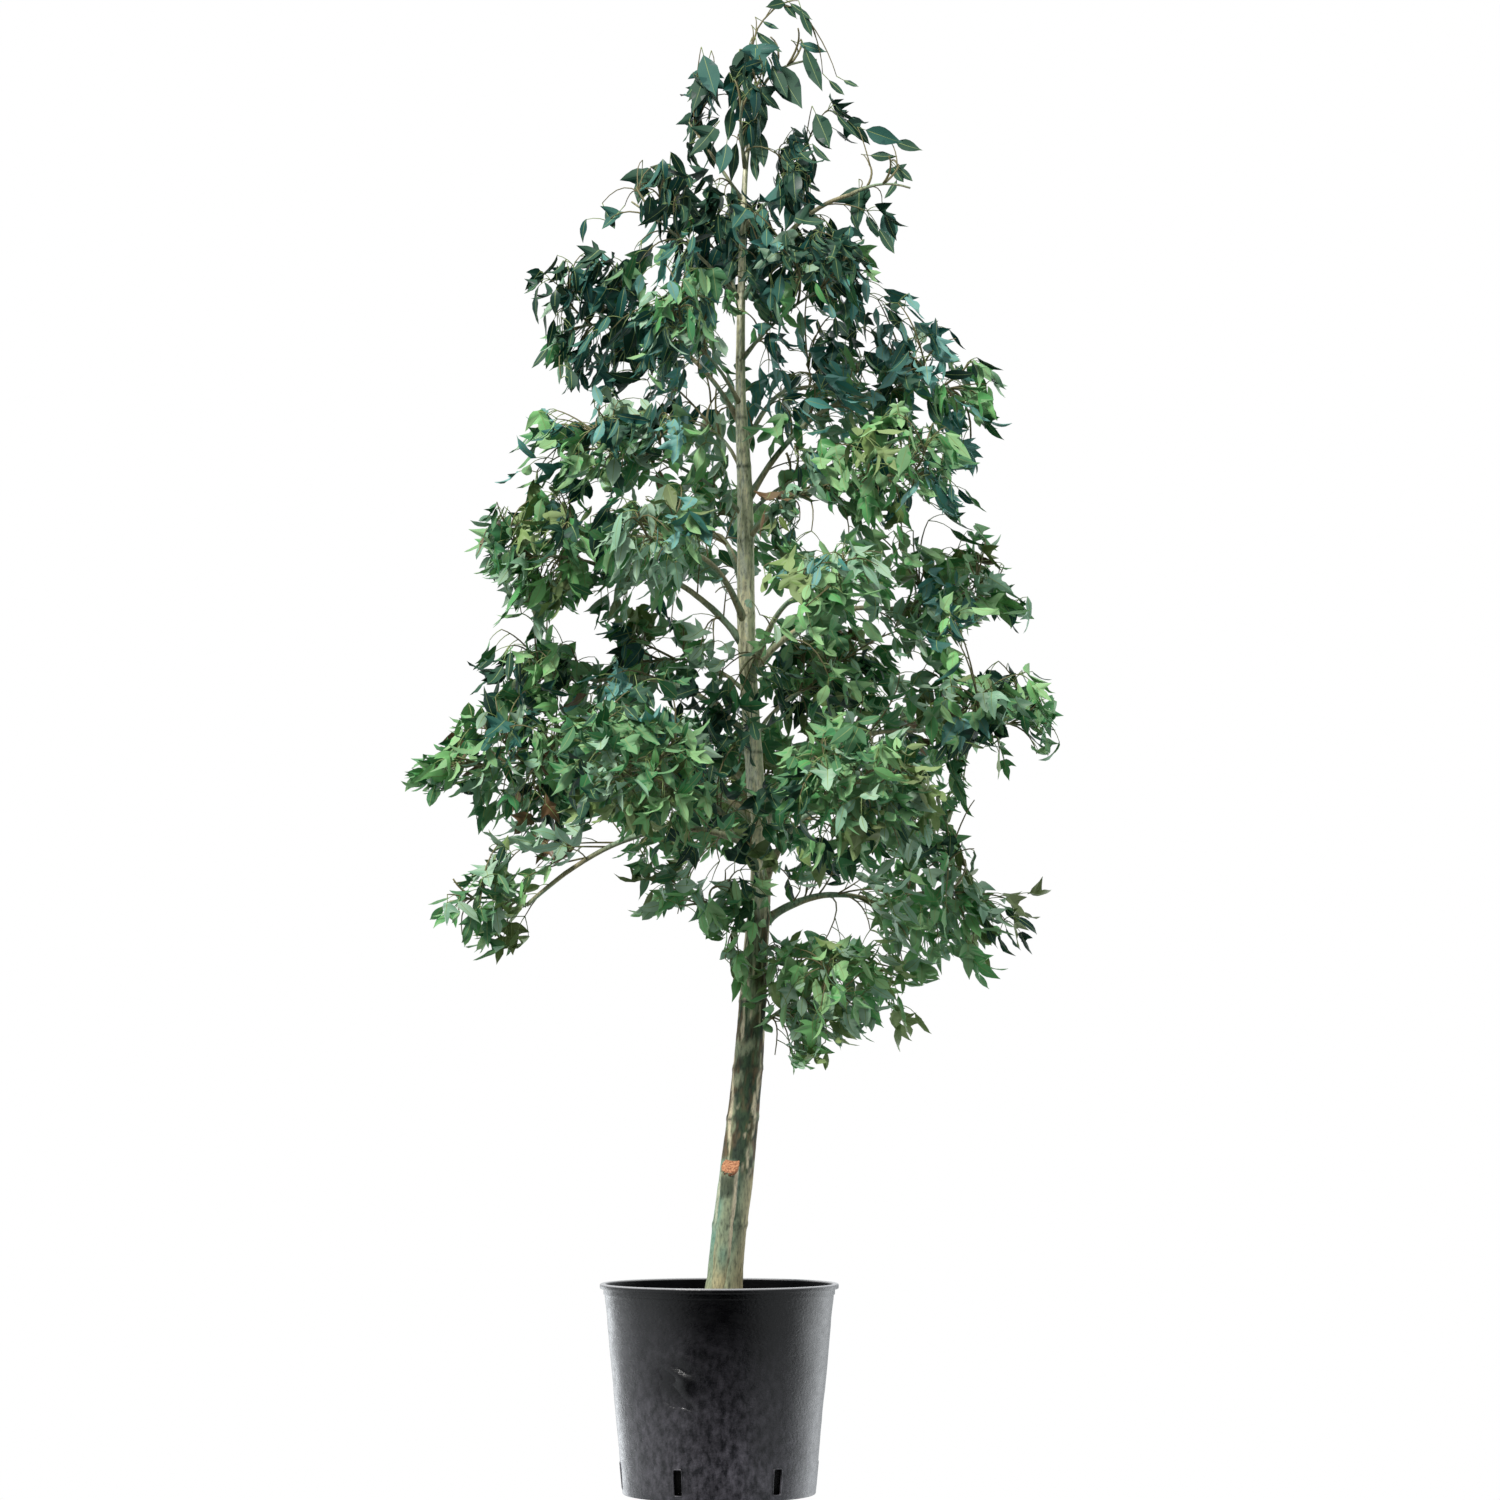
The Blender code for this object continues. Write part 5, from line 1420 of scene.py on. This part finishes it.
class Crown:
    """Grows the crown's twigs and leaves and keeps what has been placed."""

    def __init__(self):
        self.leaves, self.limbs, self.stem_tones = [], [], []
        self.cells = {}
        self.stems, self.twigs = Batch(), Batch()

    def crowded(self, point):
        """Whether another blade's middle is too near."""
        near = (tuple(map(sum, zip(cell_of(point), step))) for step in product((-1, 0, 1), repeat=3))
        others = (other for cell in near for other in self.cells.get(cell, ()))
        return any((other - point).length < LEAST_APART for other in others)

    def place(self, leaf, middle):
        """Keeps a leaf."""
        self.leaves.append(leaf)
        self.cells.setdefault(cell_of(middle), []).append(middle)

    def try_leaf(self, space, root, ahead, azimuth, group, dice):
        """Puts a leaf on a petiole at a place on a twig if it may be there. Returns whether it may."""
        x, y, _ = from_trunk(root)
        outward = Vector((x, y, 0.0)).normalized()
        away = (root - space.centre).normalized() * 0.6 + outward * 0.4 if space else outward
        high = up_crown(root.z)
        length = dice.uniform(*LEAF_LENGTH) * (1.0 + 0.10 * high)
        reach = dice.uniform(*PETIOLE_LENGTH)
        out = (spoke(ahead, azimuth) + ahead * 0.5 + away * 0.4 + UP * 0.15).normalized()
        middle = root + out * reach * 0.55
        base = root + (out * 0.8 - UP * 0.25).normalized() * reach
        droop = dice.uniform(0.20, 1.15) + 0.75 * high
        wander = any_way(dice, 0.36)
        forward = (out * 0.5 + away * 0.3 - UP * droop + wander).normalized()
        above = away * 0.45 + UP * 0.45 + any_way(dice, 0.55)
        across = above.cross(forward)
        if across.length < 0.15:
            return False
        across.normalize()
        axes = (across, forward, across.cross(forward))
        bend = dice.uniform(0.2, 1.2)
        kind = leaf_kind(root.z, dice)
        spots = blade_spots(base, axes, length, bend, WIDTH_TO_TEST[kind])
        if not allowed(space, spots, dice) or self.crowded(spots[2]):
            return False
        petiole = curve(root, middle, base + forward * INTO_BLADE, PETIOLE_POINTS)
        sway = loose(dice, (0.05, 0.60), 0.6, 0.035)
        self.place(Leaf(kind, group, base, axes, length, bend, *sway, petiole), spots[2])
        return True

    def dress(self, space, line, first_share, dice):
        """Puts leaves of one colour along a twig, and a few at its end. Returns whether it bears any."""
        group = spray_group(line[-1], dice)
        count = max(1, round(length_of(line) * (1.0 - first_share) / LEAF_STEP))
        shares = [first_share + (1.0 - first_share) * k / count for k in range(count)]
        shares += [1.0] * LEAVES_AT_TIP
        spin = dice.uniform(0.0, math.tau)
        before = len(self.leaves)
        for k, share in enumerate(shares):
            root = on_line(line, share)
            ahead = direction_at(line, share, 0.08, 0.0)
            for attempt in range(LEAF_TRIES):
                if self.try_leaf(space, root, ahead, spin + k * GOLDEN_ANGLE + attempt * 0.9, group, dice):
                    break
        return len(self.leaves) > before

    def grow(self, mass, space, start, heading, thick):
        """One mass: its stem and side twigs as in the solids, then finer twigs that fill its space."""
        dice = random.Random(mass.name)
        stem = stem_points(space, start, heading)
        radii = limb_radii(thick, STEM_TIP_RADIUS, STEM_POINTS, 0.25)
        add_limb(self.stems, self.stem_tones, stem, radii, 10, 1000 + 7 * MASSES.index(mass), 0.2)
        parents = [stem]
        spin = dice.uniform(0.0, math.tau)
        for index in range(SIDE_TWIGS):
            angle = spin + index * GOLDEN_ANGLE
            spot = spot_in(space, TWIG_REACH * math.cos(angle), TWIG_REACH * math.sin(angle), TWIG_LIFT)
            parents.append(twig_points(stem, spot, 7))
            self.add_twig(parents[-1], 0.0026, 0.0015)
        self.limbs += parents
        share = THINNER.get(mass.name, 1.0)
        if share == 0.0:
            return
        half = space.half
        area = (half.x * half.y + half.y * half.z + half.z * half.x) / 3 * 4 * math.pi
        lines = list(parents)
        count = max(LEAST_TWIGS, round(TWIGS_PER_AREA * area * share))
        for direction in spread(count, dice.uniform(0.0, math.tau)):
            spot = spot_in(space, *(direction * dice.uniform(0.40, 0.88))) + UP * half.z * 0.12
            if not seen_in(spot, SKY_GAPS):
                lines.append(twig_points(nearest_line(parents, spot, (0.3, 0.6, 0.9)), spot, 6))
        for line in lines:
            if self.dress(space, line, 0.30, dice) and line not in parents:
                self.add_twig(line, 0.0018, 0.0009)

    def add_twig(self, line, thick, tip):
        """Adds a twig's tube."""
        radii = [thick + (tip - thick) * i / (len(line) - 1) for i in range(len(line))]
        self.twigs.add(*tube_arrays(line, radii, TWIG_SIDES))

    def nearest_limb(self, spot):
        """The limb that passes nearest to a place."""
        return nearest_line(self.limbs, spot, [t / 12 for t in range(2, 13)])

    def add_side_spray(self, tip, dice):
        """A leafy twig to a place, if the nearest limb is near enough."""
        line = twig_points(self.nearest_limb(tip), tip, 7)
        length = length_of(line)
        if length < LONGEST_SPRAY and self.dress(None, line, max(0.30, 1.0 - SPRAY_LEAFY / length), dice):
            self.add_twig(line, 0.0019, 0.0010)

    def add_fillers(self, spaces, dice):
        """Leafy twigs between the masses, where the camera sees them against the masses' own middles."""
        fronts = [(*seen_at(s.centre), min(s.half.x, s.half.y), s.half.z) for s in spaces]
        heights, widths = zip(*CROWN_ROWS)
        for _ in range(FILLER_SPRAYS):
            z = dice.uniform(heights[0], heights[-1])
            reach = float(np.interp(z, heights, widths)) * math.sqrt(dice.uniform(0.10, 0.95))
            angle = dice.uniform(0.0, math.tau)
            axis, _ = trunk_at(z)
            tip = Vector((axis.x + reach * math.cos(angle), axis.y + reach * math.sin(angle) + 0.02, z))
            if any(level(space, tip) < 1.0 for space in spaces) or seen_in(tip, SKY_GAPS, FILLER_SLACK):
                continue
            if seen_in(tip, fronts, FILLER_CORE):
                self.add_side_spray(tip, dice)

    def add_lone_leaf(self, row, dice):
        """One leaf between two places the camera sees, on a fine twig from the nearest limb."""
        base_x, base_z, tip_x, tip_z, kind = row
        base = Vector((base_x, TIP_DEPTH + dice.uniform(-0.012, 0.012), base_z))
        tip = Vector((tip_x, base.y + dice.uniform(-0.020, 0.006), tip_z))
        forward = (tip - base).normalized()
        above = Vector((dice.uniform(-0.6, 0.6), -1.0, dice.uniform(-0.2, 0.8)))
        across = above.cross(forward).normalized()
        twig = twig_points(self.nearest_limb(base), base - forward * 0.016, 6)
        self.add_twig(twig, 0.0013, 0.0008)
        end = base + forward * INTO_BLADE
        petiole = [twig[-1].lerp(end, k / (PETIOLE_POINTS - 1)) for k in range(PETIOLE_POINTS)]
        group = spray_group(base, dice)
        bend = dice.uniform(0.2, 0.6)
        axes = (across, forward, across.cross(forward))
        sway = loose(dice, (0.1, 0.5), 0.4, 0.03)
        leaf = Leaf(kind, group, base, axes, (tip - base).length * 1.04, bend, *sway, petiole)
        self.place(leaf, base.lerp(tip, 0.4))

    def add_sprays(self, name, limb):
        """Short leafy twigs along a bare limb, from near its foot to its tip."""
        dice = random.Random(name)
        count = round(length_of(limb) * 0.85 / SPRAY_STEP)
        spin = dice.uniform(0.0, math.tau)
        for k in range(count):
            share = 0.12 + 0.85 * (k + dice.random()) / count
            foot = on_line(limb, share)
            ahead = direction_at(limb, share, 0.03, 0.03)
            way = spoke(ahead, spin + k * GOLDEN_ANGLE) + ahead * 0.6 + UP * 0.35
            tip = foot + way.normalized() * dice.uniform(*SPRAY_REACH)
            if seen_in(tip, SKY_GAPS):
                continue
            line = curve(foot, foot.lerp(tip, 0.5) + UP * 0.012, tip, 5)
            if self.dress(None, line, 0.45, dice):
                self.add_twig(line, 0.0016, 0.0009)


def make_leaves(leaves, nodes):
    """Joins the leaves of each colour into one piece, with their ribs and petioles."""
    rib_finish = twig_material("leaf_rib", (0.190, 0.260, 0.090))
    radii = np.linspace(*PETIOLE_RADIUS, PETIOLE_POINTS)
    for number, (name, upper, under, _) in enumerate(LEAF_GROUPS):
        upper_finish = leaf_material(f"leaf_{name}", upper, 0.42, 0.03)
        under_finish = leaf_material(f"under_{name}", under, 0.60, 0.0)
        chosen = [leaf for leaf in leaves if leaf.group == number]
        batch = Batch()
        for shape in LEAF_SHAPES:
            own = [leaf for leaf in chosen if leaf.shape == shape]
            for points in shaped_leaves(shape, own) if own else ():
                batch.add(points, *TEMPLATES[shape][5:])
        for leaf in chosen:
            points, faces = tube_arrays(leaf.petiole, radii, 3)
            batch.add(points, faces, np.full(len(faces), RIB))
        finished(batch.build(f"leaves_{name}", [upper_finish, under_finish, rib_finish]), "leaf", *nodes)


def grow_tree():
    """Grows boughs, stems, twigs and leaves round the trunk. Returns the number of leaves."""
    bark = bark_material()
    make_trunk(bark)
    make_stub(bark, cut_wood_material())
    boughs, tones, bough_nodes = Batch(), [], []
    crown = Crown()
    spaces = [space_of(mass) for mass in MASSES]
    for number, (mass, space) in enumerate(zip(MASSES, spaces)):
        foot, radius = trunk_at(mass.foot)
        start = foot + space.outward * radius * SUNK
        reach = math.hypot(mass.centre[0] - foot.x, mass.centre[1] - foot.y) - space.half.x
        if mass.name == "leader":
            below, _ = trunk_at(mass.foot - 0.02)
            crown.grow(mass, space, foot, (foot - below).normalized(), radius)
        elif reach < LEAST_BOUGH:
            crown.grow(mass, space, start, (space.outward + UP).normalized(), STEM_RADIUS)
        else:
            points = bough_points(space, start)
            thick = max(radius * BOUGH_RADIUS_SHARE, BOUGH_TIP_RADIUS * 1.3)
            radii = limb_radii(thick, BOUGH_TIP_RADIUS, BOUGH_POINTS, 0.35)
            add_limb(boughs, tones, points, radii, 18, 200 + 5 * number, 0.1)
            bough_nodes.append(f"bough_{mass.name}")
            crown.add_sprays(mass.name, points)
            crown.limbs.append(points)
            crown.grow(mass, space, points[-1], (points[-1] - points[-2]).normalized(), BOUGH_TIP_RADIUS)

    arch = [Vector((x, TIP_DEPTH, z)) for x, z in TIP_ARCH]
    arch = [on_line(arch, k / 16) for k in range(17)]
    crown.limbs.append(arch)
    crown.add_twig(arch, 0.0022, 0.0008)
    dice = random.Random("lone leaves")
    for row in LONE_LEAVES:
        crown.add_lone_leaf(row, dice)
    crown.add_fillers(spaces, random.Random("fillers"))
    dice = random.Random("side sprays")
    for x, depth, z in SIDE_SPRAYS:
        share = (depth - CAMERA_AT.y) / -CAMERA_AT.y
        crown.add_side_spray(CAMERA_AT.lerp(Vector((x, 0.0, z)), share), dice)

    piece = boughs.build("bough_bark", [bark])
    paint(piece, np.concatenate(tones))
    finished(piece, "bark", *bough_nodes)
    foliage_nodes = [f"foliage_{mass.name}" for mass in MASSES]
    stems = crown.stems.build("stems", [bark])
    paint(stems, np.concatenate(crown.stem_tones))
    finished(stems, "bark", *foliage_nodes)
    twigs = crown.twigs.build("twigs", [twig_material("twig_bark", (0.150, 0.135, 0.060))])
    finished(twigs, "bark", *foliage_nodes)
    make_leaves(crown.leaves, foliage_nodes)
    return len(crown.leaves)


# Stage


def light_patch(tree, direction, half_width_deg, strength):
    """A soft round patch of light in the world about a direction. Returns its strength output."""
    place = add_node(tree, "TexCoord").outputs["Generated"]
    near = worked_out(tree, "DOT_PRODUCT", place, Vector(direction).normalized(), kind="VectorMath")
    edge, core = math.cos(math.radians(half_width_deg)), math.cos(math.radians(half_width_deg * PATCH_CORE))
    return map_range(tree, near, edge, core, 0.0, strength, "SMOOTHSTEP")


def make_world():
    """White to the camera. To the tree, a dim sky, lighter above, with bright patches behind its sides."""
    world = bpy.data.worlds.new("studio")
    bpy.context.scene.world = world
    world.use_nodes = True
    tree = world.node_tree
    seen = tree.nodes["Background"]
    fill(tree, seen.inputs["Color"], (1.0, 1.0, 1.0))
    fill(tree, seen.inputs["Strength"], 1.0)
    place = add_node(tree, "TexCoord").outputs["Generated"]
    height = add_node(tree, "SeparateXYZ", place).outputs["Z"]
    strength = map_range(tree, height, -1.0, 1.0, GROUND_LIGHT, SKY_LIGHT)
    for row in LIGHT_PATCHES:
        strength = worked_out(tree, "ADD", strength, light_patch(tree, *row))
    ambient = add_node(tree, "Background", Color=SKY_COLOUR, Strength=strength)
    is_camera = add_node(tree, "LightPath").outputs["Is Camera Ray"]
    both = add_node(tree, "MixShader", is_camera, ambient.outputs[0], seen.outputs[0])
    tree.links.new(both.outputs[0], tree.nodes["World Output"].inputs["Surface"])


def make_stage():
    """The camera, a blank white world and a soft sun from the upper left."""
    data = bpy.data.cameras.new("camera")
    data.lens = LENS_MM
    data.sensor_width = SENSOR_MM
    camera = bpy.data.objects.new("camera", data)
    camera.location = CAMERA_AT
    camera.rotation_euler = (AIM_AT - CAMERA_AT).to_track_quat("-Z", "Y").to_euler()
    bpy.context.scene.collection.objects.link(camera)
    bpy.context.scene.camera = camera
    make_world()
    sun = bpy.data.lights.new("key", "SUN")
    sun.energy = SUN_STRENGTH
    sun.angle = math.radians(SUN_WIDTH_DEG)
    sun.color = SUN_COLOUR
    key = bpy.data.objects.new("key", sun)
    key.rotation_euler = Vector(SUN_HEADING).to_track_quat("-Z", "Y").to_euler()
    bpy.context.scene.collection.objects.link(key)
    bpy.context.scene.view_settings.view_transform = "Standard"


make_pot(pot_material())
make_soil(
    soil_material("potting_soil", (0.020, 0.013, 0.009), (0.075, 0.050, 0.032)),
    soil_material("chip_bark", (0.055, 0.030, 0.018), (0.210, 0.125, 0.070)),
)
leaf_count = grow_tree()
make_stage()
